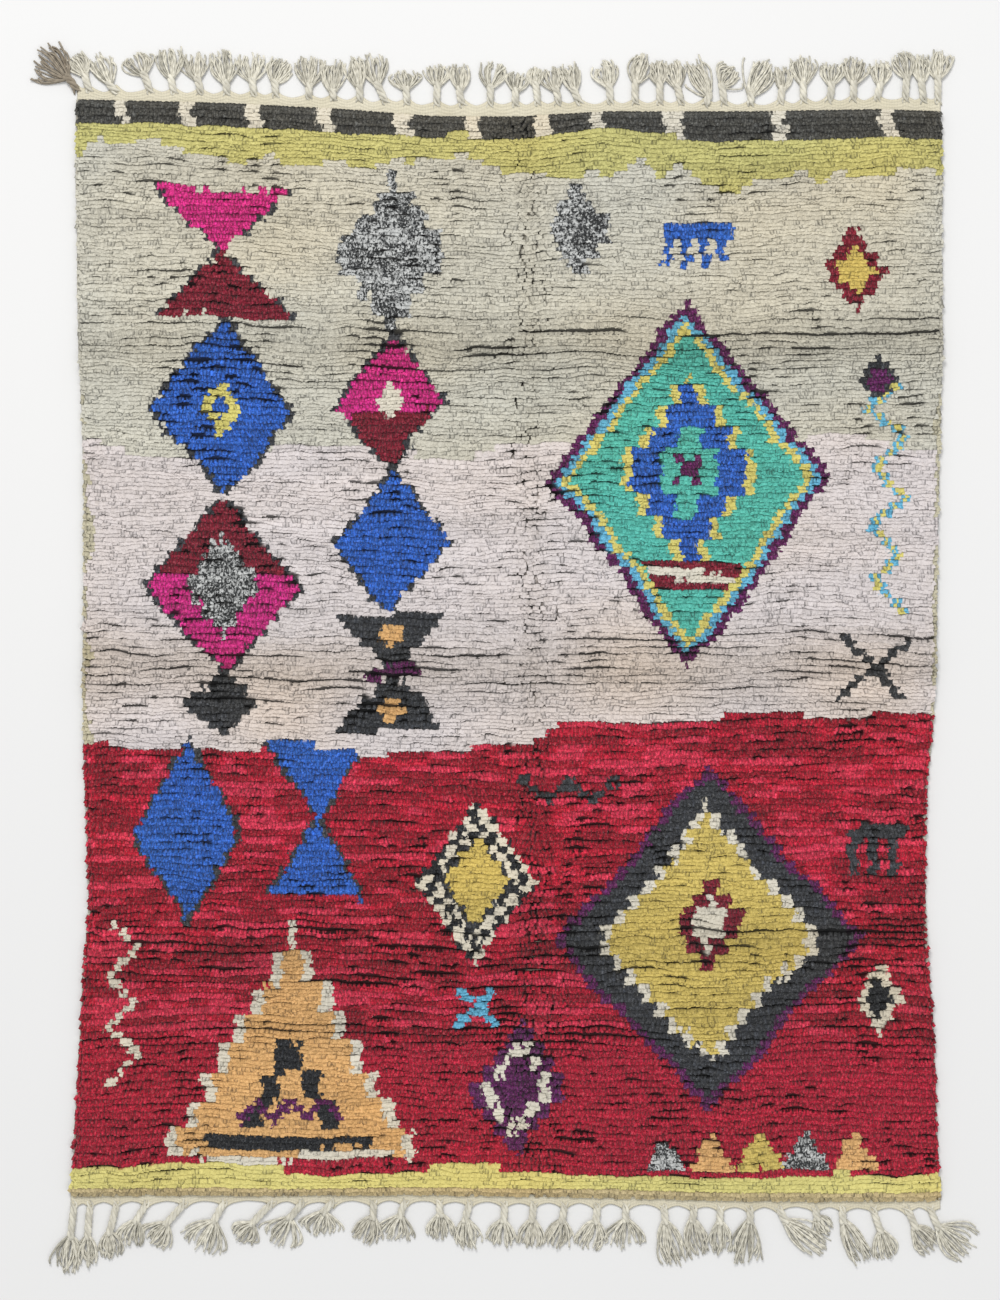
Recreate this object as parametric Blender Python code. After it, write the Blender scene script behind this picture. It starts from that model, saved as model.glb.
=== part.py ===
"""Hand knotted wool rug with flatwoven ends and tied fringes, lying on a floor.

Lengths are in metres unless a name ends in MM. +X is across the rug, +Y is along it towards the
end with the dark dashed band, and +Z is up from the floor. The underside rests on Z = 0.
"""

import math

import bmesh
import bpy
import numpy as np

MM = 0.001

# Pile: rows of knots across the rug, each row leaning over the one below it
ROWS = 148
PILE_THICK = 15.5 * MM
EDGE_THICK = 9.0 * MM
EDGE_INSET = 0.009
ROW_DEPTH = 2.6 * MM
OPEN_ROW_DEPTH = 3.4 * MM
ROW_LEAN = 0.32
ROW_END_SCALLOP = 1.4 * MM
UNDERSIDE_STEPS = 44
LIFT_START = 0.4 * MM

# How the pile's thickness swells from place to place: height, then radians to a metre along x and
# along y for each of the two waves that are multiplied
LUMP = 0.7 * MM
LUMP_WAVES = [(23.0, 17.0), (-9.0, 41.0)]

# How rows wander up and down: height, radians to a metre along x and along y, start
ROW_WAVES = [
    (2.4 * MM, 5.3, 3.1, 0.0),
    (1.5 * MM, 11.7, -7.3, 1.3),
]
ROW_WAVE_EASE = 6.0

# How the line of a fold wanders, and the lift at which its rows stand fully open
FOLD_STATIONS = [-0.8, 0.0, 0.8]
FOLD_WANDER = 6 * MM
FOLD_WANDER_RATE = 9.0
FULL_FOLD = 6.0
BELL_SHARPNESS = 1.4

# Flatwoven ends and their fringes
WEAVE_THICK = 4.0 * MM
PART_GAP = 0.3 * MM
ROOT_WIDE = 16.0 * MM
ROOT_CLEAR = 1.0 * MM
STATION_CLEAR = 2.0 * MM
STEM_WIDE = 14.5 * MM
STEM_HIGH = 9.5 * MM
STEM_BEND = 0.55
KNOT_WIDE = 16.0 * MM
KNOT_HIGH = 9.0 * MM
LOCK_WIDE = 12.0 * MM
LOCK_HIGH = 8.5 * MM
LOCK_BEND = 0.5
TIP_WIDE = 9.0 * MM
TIP_HIGH = 5.0 * MM
LOCK_PITCH = 6.6 * MM
TIP_PITCH_SHARE = 0.8
OUTER_LOCK_SHARE = {-1: 0.86, 0: 1.0, 1: 0.92}

# Long edges of the pile, in millimetres: y, left x, right x
SIDES = [
    (-997, -809, 802),
    (-936, -803, 797),
    (-816, -797, 793),
    (-696, -789, 790),
    (-567, -783, 779),
    (-446, -773, 772),
    (-367, -777, 772),
    (-206, -781, 777),
    (-106, -784, 787),
    (25, -783, 791),
    (306, -782, 796),
    (426, -785, 799),
    (607, -792, 803),
    (912, -797, 803),
    (1023, -796, 802),
]

# Short edges, in millimetres: x, top of pile, top of weave, bottom of pile, bottom of weave
ENDS = [
    (-805, 1034, 1052, -992, -1008),
    (-660, 1031, 1049, -991, -1008),
    (-513, 1027, 1046, -991, -1007),
    (-309, 1016, 1035, -990, -1007),
    (-143, 1003, 1025, -990, -1006),
    (12, 1002, 1025, -992, -1009),
    (173, 1012, 1029, -995, -1012),
    (443, 1012, 1026, -1001, -1018),
    (683, 1016, 1036, -1002, -1019),
    (799, 1012, 1029, -1001, -1018),
]

# Folds across the rug, in millimetres: y at left, y at middle, y at right, half width, lift,
# share of the lift at the left
CROSS_FOLDS = [
    (560, 572, 585, 62, 5.0, 0.6),
    (-18, -30, -8, 74, 6.0, 1.0),
    (-560, -545, -530, 66, 5.0, 0.9),
    (-668, -676, -660, 50, 2.5, 0.8),
]

# The crease along the rug, in millimetres: y, x, half width, depth
LONG_CREASE = [
    (-1000, 52, 26, 2.2),
    (-500, 48, 30, 2.8),
    (-30, 44, 32, 3.2),
    (400, 40, 28, 2.6),
    (1020, 34, 24, 2.0),
]

# Tassels of the top end, in millimetres and degrees: root x, stem sideways, stem out,
# tuft turned to the right, tuft length, fan between the outer locks, fullness of its locks
TOP_TASSELS = [
    (-795, -24, 27, -52, 66, 42, 1.09),
    (-773, -10, 34, -34, 38, 15, 0.71),
    (-721, -19, 17, -24, 56, 16, 0.76),
    (-660, -15, 37, -23, 37, 27, 1.15),
    (-616, -7, 31, -4, 54, 0, 1.04),
    (-569, -7, 30, -4, 44, 24, 0.79),
    (-519, -3, 24, -10, 58, 30, 0.76),
    (-470, -4, 30, 2, 46, 40, 0.87),
    (-429, -3, 29, 26, 41, 23, 0.95),
    (-368, 2, 26, 0, 50, 32, 0.79),
    (-321, -3, 18, 2, 54, 8, 0.83),
    (-274, 0, 29, -11, 52, 0, 0.71),
    (-224, -19, 37, -4, 52, 19, 0.76),
    (-185, -3, 31, -4, 30, 60, 1.09),
    (-130, 2, 41, 0, 34, 41, 0.76),
    (-81, -7, 33, 3, 44, 14, 0.76),
    (-32, 0, 37, 16, 44, 30, 0.87),
    (16, 0, 31, 6, 29, 22, 0.76),
    (56, -5, 41, 2, 28, 0, 0.69),
    (94, -7, 31, -12, 36, 12, 0.68),
    (136, -15, 28, -11, 47, 10, 0.74),
    (190, -2, 35, -18, 43, 0, 1.15),
    (238, 0, 42, 15, 51, 0, 0.95),
    (282, 0, 41, -6, 38, 0, 0.72),
    (323, -10, 35, -6, 46, 10, 0.67),
    (365, 9, 20, -30, 70, 12, 0.76),
    (402, -6, 38, 44, 38, 0, 1.15),
    (449, 2, 21, 30, 70, 4, 0.91),
    (506, 4, 30, 2, 37, 0, 0.73),
    (550, -2, 37, -5, 49, 22, 0.79),
    (593, 6, 35, 0, 37, 32, 0.76),
    (639, 2, 35, 8, 44, 37, 0.76),
    (683, 9, 31, 3, 41, 0, 0.87),
    (737, 3, 48, -18, 42, 19, 0.76),
    (772, -6, 42, -2, 47, 0, 0.65),
    (797, 0, 50, 6, 46, 22, 0.76),
]

# Tassels of the bottom end, with the same columns
BOTTOM_TASSELS = [
    (-801, -8, 68, -4, 61, 0, 1.09),
    (-771, -6, 68, 4, 50, 0, 1.0),
    (-722, -16, 60, 6, 43, 0, 1.04),
    (-664, -26, 38, -14, 42, 40, 0.87),
    (-592, -43, 43, -39, 42, 50, 0.87),
    (-520, -26, 40, -25, 56, 60, 1.15),
    (-428, -48, 44, -38, 35, 27, 1.15),
    (-376, -31, 33, -22, 50, 50, 1.15),
    (-319, -24, 21, -10, 42, 56, 1.15),
    (-248, -2, 33, -20, 46, 42, 0.76),
    (-186, -14, 31, -12, 42, 60, 0.76),
    (-126, 2, 28, 2, 42, 43, 0.76),
    (-67, -12, 37, 10, 50, 25, 0.76),
    (-6, -2, 37, -10, 44, 60, 0.76),
    (50, -4, 35, -8, 46, 28, 0.76),
    (106, -6, 35, -16, 45, 26, 0.95),
    (166, -4, 35, -16, 50, 20, 1.0),
    (220, 0, 31, -4, 50, 60, 1.0),
    (288, 4, 33, 14, 80, 8, 0.95),
    (344, -4, 28, 12, 62, 16, 0.87),
    (395, -2, 31, 1, 58, 0, 0.74),
    (448, 0, 28, -12, 78, 24, 0.79),
    (500, 17, 28, 56, 90, 6, 0.73),
    (569, 5, 22, 44, 34, 0, 0.73),
    (622, 0, 28, 30, 80, 6, 0.87),
    (676, 17, 46, 12, 48, 28, 0.87),
    (736, 20, 40, 44, 50, 0, 1.0),
    (781, 19, 39, 56, 74, 26, 1.0),
]

# Colours as linear red, green, blue
WOOL_PALE = (0.56, 0.51, 0.44)
WARP_GREIGE = (0.47, 0.45, 0.38)


def clear_scene():
    for thing in list(bpy.data.objects):
        bpy.data.objects.remove(thing, do_unlink=True)


def wool(name, colour, roughness):
    material = bpy.data.materials.new(name)
    material.use_nodes = True
    shader = material.node_tree.nodes["Principled BSDF"]
    shader.inputs["Base Color"].default_value = (*colour, 1.0)
    shader.inputs["Roughness"].default_value = roughness
    shader.inputs["Metallic"].default_value = 0.0
    material.diffuse_color = (*colour, 1.0)
    return material


def column(table, index):
    return [row[index] * MM for row in table]


def side_x(y, index):
    """X of the left (1) or right (2) edge of the pile at a given y."""
    return float(np.interp(y, column(SIDES, 0), column(SIDES, index)))


def across(x):
    """Share of the way from the left station of the short edges to the right one."""
    stations = column(ENDS, 0)
    return (x - stations[0]) / (stations[-1] - stations[0])


def end_y(share, index):
    """Y of a short edge at a share of the way across: 1 and 2 at the top, 3 and 4 at the bottom."""
    shares = [across(x) for x in column(ENDS, 0)]
    return float(np.interp(share, shares, column(ENDS, index)))


def bell(distance, half_width):
    return math.exp(-((distance / half_width) ** 2) * BELL_SHARPNESS)


def cross_lift(x, y):
    """How far the folds across the rug raise it, and how open its rows are there."""
    lift = 0.0
    opened = 0.0
    for left, middle, right, half_width, height, left_share in CROSS_FOLDS:
        centre = float(np.interp(x, FOLD_STATIONS, [left * MM, middle * MM, right * MM]))
        centre += FOLD_WANDER * math.sin(x * FOLD_WANDER_RATE + left)
        share = float(np.interp(x, FOLD_STATIONS, [left_share, 1.0, 1.0]))
        near = bell(y - centre, half_width * MM)
        lift += height * MM * near * share
        opened = max(opened, near * share * height / FULL_FOLD)
    return lift, opened


def crease_depth(x, y):
    """Depth of the crease along the rug."""
    ys = column(LONG_CREASE, 0)
    centre = float(np.interp(y, ys, column(LONG_CREASE, 1)))
    half_width = float(np.interp(y, ys, column(LONG_CREASE, 2)))
    depth = float(np.interp(y, ys, column(LONG_CREASE, 3)))
    return depth * bell(x - centre, half_width)


def row_wave(x, y, along):
    """How far a row of knots wanders up or down at a place."""
    free = min(1.0, ROW_WAVE_EASE * along, ROW_WAVE_EASE * (1.0 - along))
    wander = sum(
        height * math.sin(x * x_rate + y * y_rate + start)
        for height, x_rate, y_rate, start in ROW_WAVES
    )
    return free * wander


def lump(x, y):
    """How far the pile swells at a place."""
    swell = LUMP
    for x_rate, y_rate in LUMP_WAVES:
        swell *= math.sin(x * x_rate + y * y_rate)
    return swell


def pile_point(share, along):
    """Plan position at shares across and along the pile."""
    low = end_y(share, 3)
    high = end_y(share, 1)
    y = low + (high - low) * along
    edge_y = end_y(0.0, 3) + (end_y(0.0, 1) - end_y(0.0, 3)) * along
    left = side_x(edge_y, 1)
    right = side_x(edge_y, 2)
    x = left + (right - left) * share
    return x, y + row_wave(x, y, along)


def pile_object(material):
    """One slab: a ribbed top, an underside that lifts in the folds, and walls between them."""
    stations = [across(x) for x in column(ENDS, 0)]
    shares = sorted(stations + [EDGE_INSET, 1.0 - EDGE_INSET])
    across_steps = len(shares) - 1
    mesh_builder = bmesh.new()

    top_lines, _ = grid_lines(mesh_builder, across_steps, 2 * ROWS)
    for line, verts in enumerate(top_lines):
        crest = line % 2 == 1
        along = (line // 2 + (ROW_LEAN if crest else 0.0)) / ROWS
        for place, vert in enumerate(verts):
            share = shares[place]
            x, y = pile_point(share, along)
            lift, opened = cross_lift(x, y)
            rim = place in (0, across_steps)
            thick = EDGE_THICK if rim else PILE_THICK - crease_depth(x, y)
            thick += lump(x, y)
            if not crest:
                thick -= ROW_DEPTH + OPEN_ROW_DEPTH * opened
            elif rim:
                x += ROW_END_SCALLOP * (-1.0 if place == 0 else 1.0)
            vert.co = (x, y, max(0.0, lift - LIFT_START) + thick)

    under_lines, under = grid_lines(mesh_builder, across_steps, UNDERSIDE_STEPS)
    for line, verts in enumerate(under_lines):
        along = line / UNDERSIDE_STEPS
        for place, vert in enumerate(verts):
            x, y = pile_point(shares[place], along)
            lift, _ = cross_lift(x, y)
            vert.co = (x, y, max(0.0, lift - LIFT_START))
    for face in [f for f in mesh_builder.faces if f.verts[0] in under]:
        face.normal_flip()

    for place in (0, across_steps):
        upper = [line[place] for line in top_lines]
        lower = [line[place] for line in under_lines]
        wall(mesh_builder, upper, lower, place == 0)
    for line, flipped in ((0, False), (-1, True)):
        wall(mesh_builder, top_lines[line], under_lines[line], flipped)

    bmesh.ops.recalc_face_normals(mesh_builder, faces=mesh_builder.faces[:])
    return finished(mesh_builder, "pile_body", material)


def grid_lines(mesh_builder, across_steps, along_steps):
    """A new grid's points in lines across the rug from the bottom end up, and as one set."""
    verts = bmesh.ops.create_grid(
        mesh_builder, x_segments=across_steps, y_segments=along_steps, size=1.0
    )["verts"]
    verts = sorted(verts, key=lambda v: (round(v.co.y, 5), round(v.co.x, 5)))
    step = across_steps + 1
    return [verts[i:i + step] for i in range(0, len(verts), step)], set(verts)


def wall(mesh_builder, upper, lower, flipped):
    """Triangles between two rims that run the same way with different numbers of points."""
    up = 0
    down = 0
    while up < len(upper) - 1 or down < len(lower) - 1:
        next_up = (up + 1) / (len(upper) - 1)
        next_down = (down + 1) / (len(lower) - 1)
        if down == len(lower) - 1 or (up < len(upper) - 1 and next_up <= next_down):
            corners = [lower[down], upper[up + 1], upper[up]]
            up += 1
        else:
            corners = [lower[down], lower[down + 1], upper[up]]
            down += 1
        mesh_builder.faces.new(corners[::-1] if flipped else corners)


def section(centre, heading, wide, high):
    """Corners of an upright cross section: left low, right low, right high, left high."""
    side = (math.cos(heading), -math.sin(heading))
    left = (centre[0] - side[0] * wide / 2, centre[1] - side[1] * wide / 2)
    right = (centre[0] + side[0] * wide / 2, centre[1] + side[1] * wide / 2)
    return [(*left, 0.0), (*right, 0.0), (*right, high), (*left, high)]


def extrude_to(mesh_builder, corners, places):
    """Extrudes the face of the four given corners and moves the new corners to new places."""
    face = next(f for f in corners[0].link_faces if set(f.verts) == set(corners))
    new_face = bmesh.ops.extrude_discrete_faces(mesh_builder, faces=[face])["faces"][0]
    fresh = []
    for corner in corners:
        fresh.append(min(new_face.verts, key=lambda v: (v.co - corner.co).length_squared))
    for vert, place in zip(fresh, places):
        vert.co = place
    return fresh


def point_from(start, heading, length, outward):
    return (start[0] + math.sin(heading) * length, start[1] + outward * math.cos(heading) * length)


def sideways(start, heading, distance, outward):
    return (start[0] + math.cos(heading) * distance, start[1] - outward * math.sin(heading) * distance)


def tassel(mesh_builder, root, row, outward):
    """A stem out of the weave's edge that parts into three locks side by side."""
    _, stem_side, stem_out, turn, length, fan, full = row
    length *= MM
    pitch = LOCK_PITCH * full
    centre = (
        (root[0].co.x + root[1].co.x) / 2,
        (root[0].co.y + root[1].co.y) / 2,
    )
    knee = (centre[0] + stem_side * MM, centre[1] + outward * stem_out * MM)
    middle = (
        centre[0] + (knee[0] - centre[0]) * STEM_BEND,
        centre[1] + (knee[1] - centre[1]) * STEM_BEND,
    )
    stem_heading = math.atan2(stem_side, stem_out)
    tuft_heading = math.radians(turn)
    knee_heading = (stem_heading + tuft_heading) / 2

    stem = section(middle, stem_heading * outward, STEM_WIDE, STEM_HIGH)
    knot = section(knee, knee_heading * outward, KNOT_WIDE, KNOT_HIGH)
    corners = extrude_to(mesh_builder, root, stem)
    corners = extrude_to(mesh_builder, corners, knot)
    left_low, right_low, right_high, left_high = corners

    low_edge = next(e for e in left_low.link_edges if right_low in e.verts)
    high_edge = next(e for e in left_high.link_edges if right_high in e.verts)
    end_face = next(f for f in left_low.link_faces if set(f.verts) == set(corners))
    _, low_one = bmesh.utils.edge_split(low_edge, left_low, 1.0 / 3.0)
    low_edge = next(e for e in low_one.link_edges if right_low in e.verts)
    _, low_two = bmesh.utils.edge_split(low_edge, low_one, 0.5)
    _, high_one = bmesh.utils.edge_split(high_edge, left_high, 1.0 / 3.0)
    high_edge = next(e for e in high_one.link_edges if right_high in e.verts)
    _, high_two = bmesh.utils.edge_split(high_edge, high_one, 0.5)
    bmesh.utils.face_split(end_face, low_one, high_one)
    rest = next(f for f in low_two.link_faces if high_two in f.verts)
    bmesh.utils.face_split(rest, low_two, high_two)

    lows = [left_low, low_one, low_two, right_low]
    highs = [left_high, high_one, high_two, right_high]
    for lock, place in ((-1, 0), (0, 1), (1, 2)):
        heading = tuft_heading + math.radians(fan) / 2 * lock
        reach = length * OUTER_LOCK_SHARE[lock]
        start = sideways(knee, knee_heading, pitch * lock, outward)
        bent = point_from(start, heading, reach * LOCK_BEND, outward)
        bent = sideways(bent, tuft_heading, pitch * lock, outward)
        tip = point_from(start, heading, reach, outward)
        tip = sideways(tip, tuft_heading, pitch * lock * TIP_PITCH_SHARE, outward)
        lock_corners = [lows[place], lows[place + 1], highs[place + 1], highs[place]]
        body = section(bent, heading * outward, LOCK_WIDE * full, LOCK_HIGH)
        end = section(tip, heading * outward, TIP_WIDE * full, TIP_HIGH)
        lock_corners = extrude_to(mesh_builder, lock_corners, body)
        extrude_to(mesh_builder, lock_corners, end)


def fringe_object(name, rows, outward, material):
    """Flatwoven end strip with its tassels: outward is 1 at the top end and -1 at the bottom."""
    pile_index = 1 if outward > 0 else 3
    weave_index = 2 if outward > 0 else 4
    edge_y = end_y(0.5, pile_index)
    left = side_x(edge_y, 1)
    right = side_x(edge_y, 2)
    stations = []
    for row in rows:
        stations += [row[0] * MM - ROOT_WIDE / 2, row[0] * MM + ROOT_WIDE / 2]
    for share in [across(x) for x in column(ENDS, 0)][1:-1]:
        x = left + (right - left) * share
        clear = min(abs(x - station) for station in stations) > STATION_CLEAR
        if clear and not inside_root(x, rows):
            stations.append(x)
    stations = sorted(stations + [left, right])

    mesh_builder = bmesh.new()
    rings = []
    for x in stations:
        share = (x - left) / (right - left)
        inner = end_y(share, pile_index) + outward * PART_GAP
        outer = end_y(share, weave_index)
        rings.append([
            mesh_builder.verts.new((x, inner, 0.0)),
            mesh_builder.verts.new((x, inner, WEAVE_THICK)),
            mesh_builder.verts.new((x, outer, WEAVE_THICK)),
            mesh_builder.verts.new((x, outer, 0.0)),
        ])
    for near, far in zip(rings, rings[1:]):
        for corner in range(4):
            after = (corner + 1) % 4
            mesh_builder.faces.new([near[corner], far[corner], far[after], near[after]])
    mesh_builder.faces.new(rings[0])
    mesh_builder.faces.new(rings[-1])
    bmesh.ops.recalc_face_normals(mesh_builder, faces=mesh_builder.faces[:])

    for row in rows:
        root_left = row[0] * MM - ROOT_WIDE / 2
        index = min(range(len(stations)), key=lambda i: abs(stations[i] - root_left))
        near, far = rings[index], rings[index + 1]
        tassel(mesh_builder, [near[3], far[3], far[2], near[2]], row, outward)

    bmesh.ops.recalc_face_normals(mesh_builder, faces=mesh_builder.faces[:])
    return finished(mesh_builder, name, material)


def inside_root(x, rows):
    return any(abs(x - row[0] * MM) < ROOT_WIDE / 2 + ROOT_CLEAR for row in rows)


def finished(mesh_builder, name, material):
    mesh = bpy.data.meshes.new(name)
    bmesh.ops.triangulate(mesh_builder, faces=mesh_builder.faces[:])
    mesh_builder.to_mesh(mesh)
    mesh_builder.free()
    mesh.materials.append(material)
    thing = bpy.data.objects.new(name, mesh)
    bpy.context.scene.collection.objects.link(thing)
    return thing


def centre_on_origin(things):
    """Moves every mesh so that the whole rug's box is centred over the origin."""
    points = np.array([vert.co[:] for thing in things for vert in thing.data.vertices])
    middle = (points.min(axis=0) + points.max(axis=0)) / 2
    for thing in things:
        for vert in thing.data.vertices:
            vert.co.x -= middle[0]
            vert.co.y -= middle[1]


clear_scene()
pile_wool = wool("pile wool", WOOL_PALE, 0.92)
warp_wool = wool("warp wool", WARP_GREIGE, 0.9)
rug = [
    pile_object(pile_wool),
    fringe_object("fringe_top", TOP_TASSELS, 1, warp_wool),
    fringe_object("fringe_bottom", BOTTOM_TASSELS, -1, warp_wool),
]
centre_on_origin(rug)
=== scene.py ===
"""Hand knotted wool rug: pile, foundation, selvedges, flatwoven ends, tassels and the stage."""

import math

import bpy
import numpy as np
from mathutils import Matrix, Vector


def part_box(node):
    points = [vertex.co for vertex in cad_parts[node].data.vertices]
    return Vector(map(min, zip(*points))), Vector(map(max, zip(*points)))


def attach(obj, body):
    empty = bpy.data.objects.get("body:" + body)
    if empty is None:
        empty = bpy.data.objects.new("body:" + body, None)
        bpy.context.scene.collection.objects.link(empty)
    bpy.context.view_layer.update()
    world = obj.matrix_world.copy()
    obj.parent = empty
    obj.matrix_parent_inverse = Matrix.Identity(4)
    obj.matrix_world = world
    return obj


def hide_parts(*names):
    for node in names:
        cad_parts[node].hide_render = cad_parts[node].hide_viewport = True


bl_info = {
    "name": "Knotted rug",
    "version": (1, 0, 0), "blender": (4, 5, 0),
    "location": "3D View > Sidebar > Rug",
    "description": "Builds a hand knotted wool rug with flatwoven ends and tassels",
    "category": "Add Mesh",
}

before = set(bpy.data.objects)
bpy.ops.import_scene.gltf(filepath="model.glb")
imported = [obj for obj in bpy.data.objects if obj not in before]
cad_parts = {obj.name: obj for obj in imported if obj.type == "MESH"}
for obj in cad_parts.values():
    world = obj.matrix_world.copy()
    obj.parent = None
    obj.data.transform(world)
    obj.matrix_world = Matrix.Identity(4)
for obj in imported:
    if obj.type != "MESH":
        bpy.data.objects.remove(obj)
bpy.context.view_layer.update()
BODY = "root"
MM = 0.001

# Long edges of the pile, in millimetres: y, left x, right x
SIDES = [
    (-997, -809, 802), (-936, -803, 797), (-816, -797, 793), (-696, -789, 790), (-567, -783, 779),
    (-446, -773, 772), (-367, -777, 772), (-206, -781, 777), (-106, -784, 787), (25, -783, 791),
    (306, -782, 796), (426, -785, 799), (607, -792, 803), (912, -797, 803), (1023, -796, 802),
]

# Short edges, in millimetres: x, top of pile, top of weave, bottom of pile, bottom of weave
ENDS = [
    (-805, 1034, 1052, -992, -1008), (-660, 1031, 1049, -991, -1008), (-513, 1027, 1046, -991, -1007),
    (-309, 1016, 1035, -990, -1007), (-143, 1003, 1025, -990, -1006), (12, 1002, 1025, -992, -1009),
    (173, 1012, 1029, -995, -1012), (443, 1012, 1026, -1001, -1018), (683, 1016, 1036, -1002, -1019),
    (799, 1012, 1029, -1001, -1018),
]

# Folds across the rug, in millimetres: y at left, y at middle, y at right, half width, lift,
# share of the lift at the left
CROSS_FOLDS = [
    (560, 572, 585, 62, 5.0, 0.6), (-18, -30, -8, 74, 6.0, 1.0), (-560, -545, -530, 66, 5.0, 0.9),
    (-668, -676, -660, 50, 2.5, 0.8),
]

# The crease along the rug, in millimetres: y, x, half width, depth
LONG_CREASE = [
    (-1000, 52, 26, 2.2), (-500, 48, 30, 2.8), (-30, 44, 32, 3.2), (400, 40, 28, 2.6), (1020, 34, 24, 2.0),
]

# Tassels of the top end, in millimetres and degrees: root x, stem sideways, stem out,
# tuft turned to the right, tuft length, fan between the outer locks, fullness of its locks
TOP_TASSELS = [
    (-795, -24, 27, -52, 66, 42, 1.09), (-773, -10, 34, -34, 38, 15, 0.71),
    (-721, -19, 17, -24, 56, 16, 0.76), (-660, -15, 37, -23, 37, 27, 1.15), (-616, -7, 31, -4, 54, 0, 1.04),
    (-569, -7, 30, -4, 44, 24, 0.79), (-519, -3, 24, -10, 58, 30, 0.76), (-470, -4, 30, 2, 46, 40, 0.87),
    (-429, -3, 29, 26, 41, 23, 0.95), (-368, 2, 26, 0, 50, 32, 0.79), (-321, -3, 18, 2, 54, 8, 0.83),
    (-274, 0, 29, -11, 52, 0, 0.71), (-224, -19, 37, -4, 52, 19, 0.76), (-185, -3, 31, -4, 30, 60, 1.09),
    (-130, 2, 41, 0, 34, 41, 0.76), (-81, -7, 33, 3, 44, 14, 0.76), (-32, 0, 37, 16, 44, 30, 0.87),
    (16, 0, 31, 6, 29, 22, 0.76), (56, -5, 41, 2, 28, 0, 0.69), (94, -7, 31, -12, 36, 12, 0.68),
    (136, -15, 28, -11, 47, 10, 0.74), (190, -2, 35, -18, 43, 0, 1.15), (238, 0, 42, 15, 51, 0, 0.95),
    (282, 0, 41, -6, 38, 0, 0.72), (323, -10, 35, -6, 46, 10, 0.67), (365, 9, 20, -30, 70, 12, 0.76),
    (402, -6, 38, 44, 38, 0, 1.15), (449, 2, 21, 30, 70, 4, 0.91), (506, 4, 30, 2, 37, 0, 0.73),
    (550, -2, 37, -5, 49, 22, 0.79), (593, 6, 35, 0, 37, 32, 0.76), (639, 2, 35, 8, 44, 37, 0.76),
    (683, 9, 31, 3, 41, 0, 0.87), (737, 3, 48, -18, 42, 19, 0.76), (772, -6, 42, -2, 47, 0, 0.65),
    (797, 0, 50, 6, 46, 22, 0.76),
]

# Tassels of the bottom end, with the same columns
BOTTOM_TASSELS = [
    (-801, -8, 68, -4, 61, 0, 1.09), (-771, -6, 68, 4, 50, 0, 1.0), (-722, -16, 60, 6, 43, 0, 1.04),
    (-664, -26, 38, -14, 42, 40, 0.87), (-592, -43, 43, -39, 42, 50, 0.87),
    (-520, -26, 40, -25, 56, 60, 1.15), (-428, -48, 44, -38, 35, 27, 1.15),
    (-376, -31, 33, -22, 50, 50, 1.15), (-319, -24, 21, -10, 42, 56, 1.15),
    (-248, -2, 33, -20, 46, 42, 0.76), (-186, -14, 31, -12, 42, 60, 0.76), (-126, 2, 28, 2, 42, 43, 0.76),
    (-67, -12, 37, 10, 50, 25, 0.76), (-6, -2, 37, -10, 44, 60, 0.76), (50, -4, 35, -8, 46, 28, 0.76),
    (106, -6, 35, -16, 45, 26, 0.95), (166, -4, 35, -16, 50, 20, 1.0), (220, 0, 31, -4, 50, 60, 1.0),
    (288, 4, 33, 14, 80, 8, 0.95), (344, -4, 28, 12, 62, 16, 0.87), (395, -2, 31, 1, 58, 0, 0.74),
    (448, 0, 28, -12, 78, 24, 0.79), (500, 17, 28, 56, 90, 6, 0.73), (569, 5, 22, 44, 34, 0, 0.73),
    (622, 0, 28, 30, 80, 6, 0.87), (676, 17, 46, 12, 48, 28, 0.87), (736, 20, 40, 44, 50, 0, 1.0),
    (781, 19, 39, 56, 74, 26, 1.0),
]

# Dyed wools as the eye sees them: red, green, blue from 0 to 255
WOOLS = {
    "cream": (187, 184, 171), "lilac": (203, 195, 193), "ivory": (202, 196, 181),
    "chartreuse": (199, 190, 118), "moss": (178, 173, 109), "charcoal": (58, 60, 64), "ash": (76, 75, 70),
    "black": (34, 36, 40), "burgundy": (124, 24, 44), "magenta": (206, 42, 130), "royal": (46, 98, 188),
    "turquoise": (78, 168, 154), "sky": (92, 163, 193), "yellow": (196, 186, 104), "gold": (191, 170, 92),
    "purple": (94, 26, 84), "crimson": (182, 22, 50), "wine": (150, 14, 38), "rose": (206, 48, 76),
    "raspberry": (172, 23, 50), "peach": (202, 158, 103), "tan": (182, 165, 124), "straw": (181, 175, 152),
    "grey_marl": (120, 118, 116),
}

# How a fold's line is given from left to right and wanders, and the lift of a full fold
FOLD_STATIONS = [-0.8, 0.0, 0.8]
FOLD_WANDER = 6 * MM
FOLD_WANDER_RATE = 9.0
FULL_FOLD = 6.0
LIFT_START = 0.4 * MM
BELL_SHARPNESS = 1.4

# How rows wander up and down: millimetres, radians to a metre along x and along y, start
ROW_WAVES = [(2.4, 5.3, 3.1, 0.0), (1.5, 11.7, -7.3, 1.3)]
ROW_WAVE_EASE = 6.0

# The rug's two ends: name, tassels, the columns of ENDS for its pile and its weave, way outwards
RUG_ENDS = (("top", TOP_TASSELS, 1, 2, 1.0), ("bottom", BOTTOM_TASSELS, 3, 4, -1.0))

# Where the tables' own zero sits in the frame
ROW_END_SCALLOP = 1.4 * MM
PART_GAP = 0.3 * MM
SHIFT_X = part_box("pile_body")[1].x - max(row[2] for row in SIDES) * MM - ROW_END_SCALLOP
SHIFT_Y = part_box("fringe_top")[0].y - min(row[1] for row in ENDS) * MM - PART_GAP
UP = np.array([0.0, 0.0, 1.0])

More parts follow.
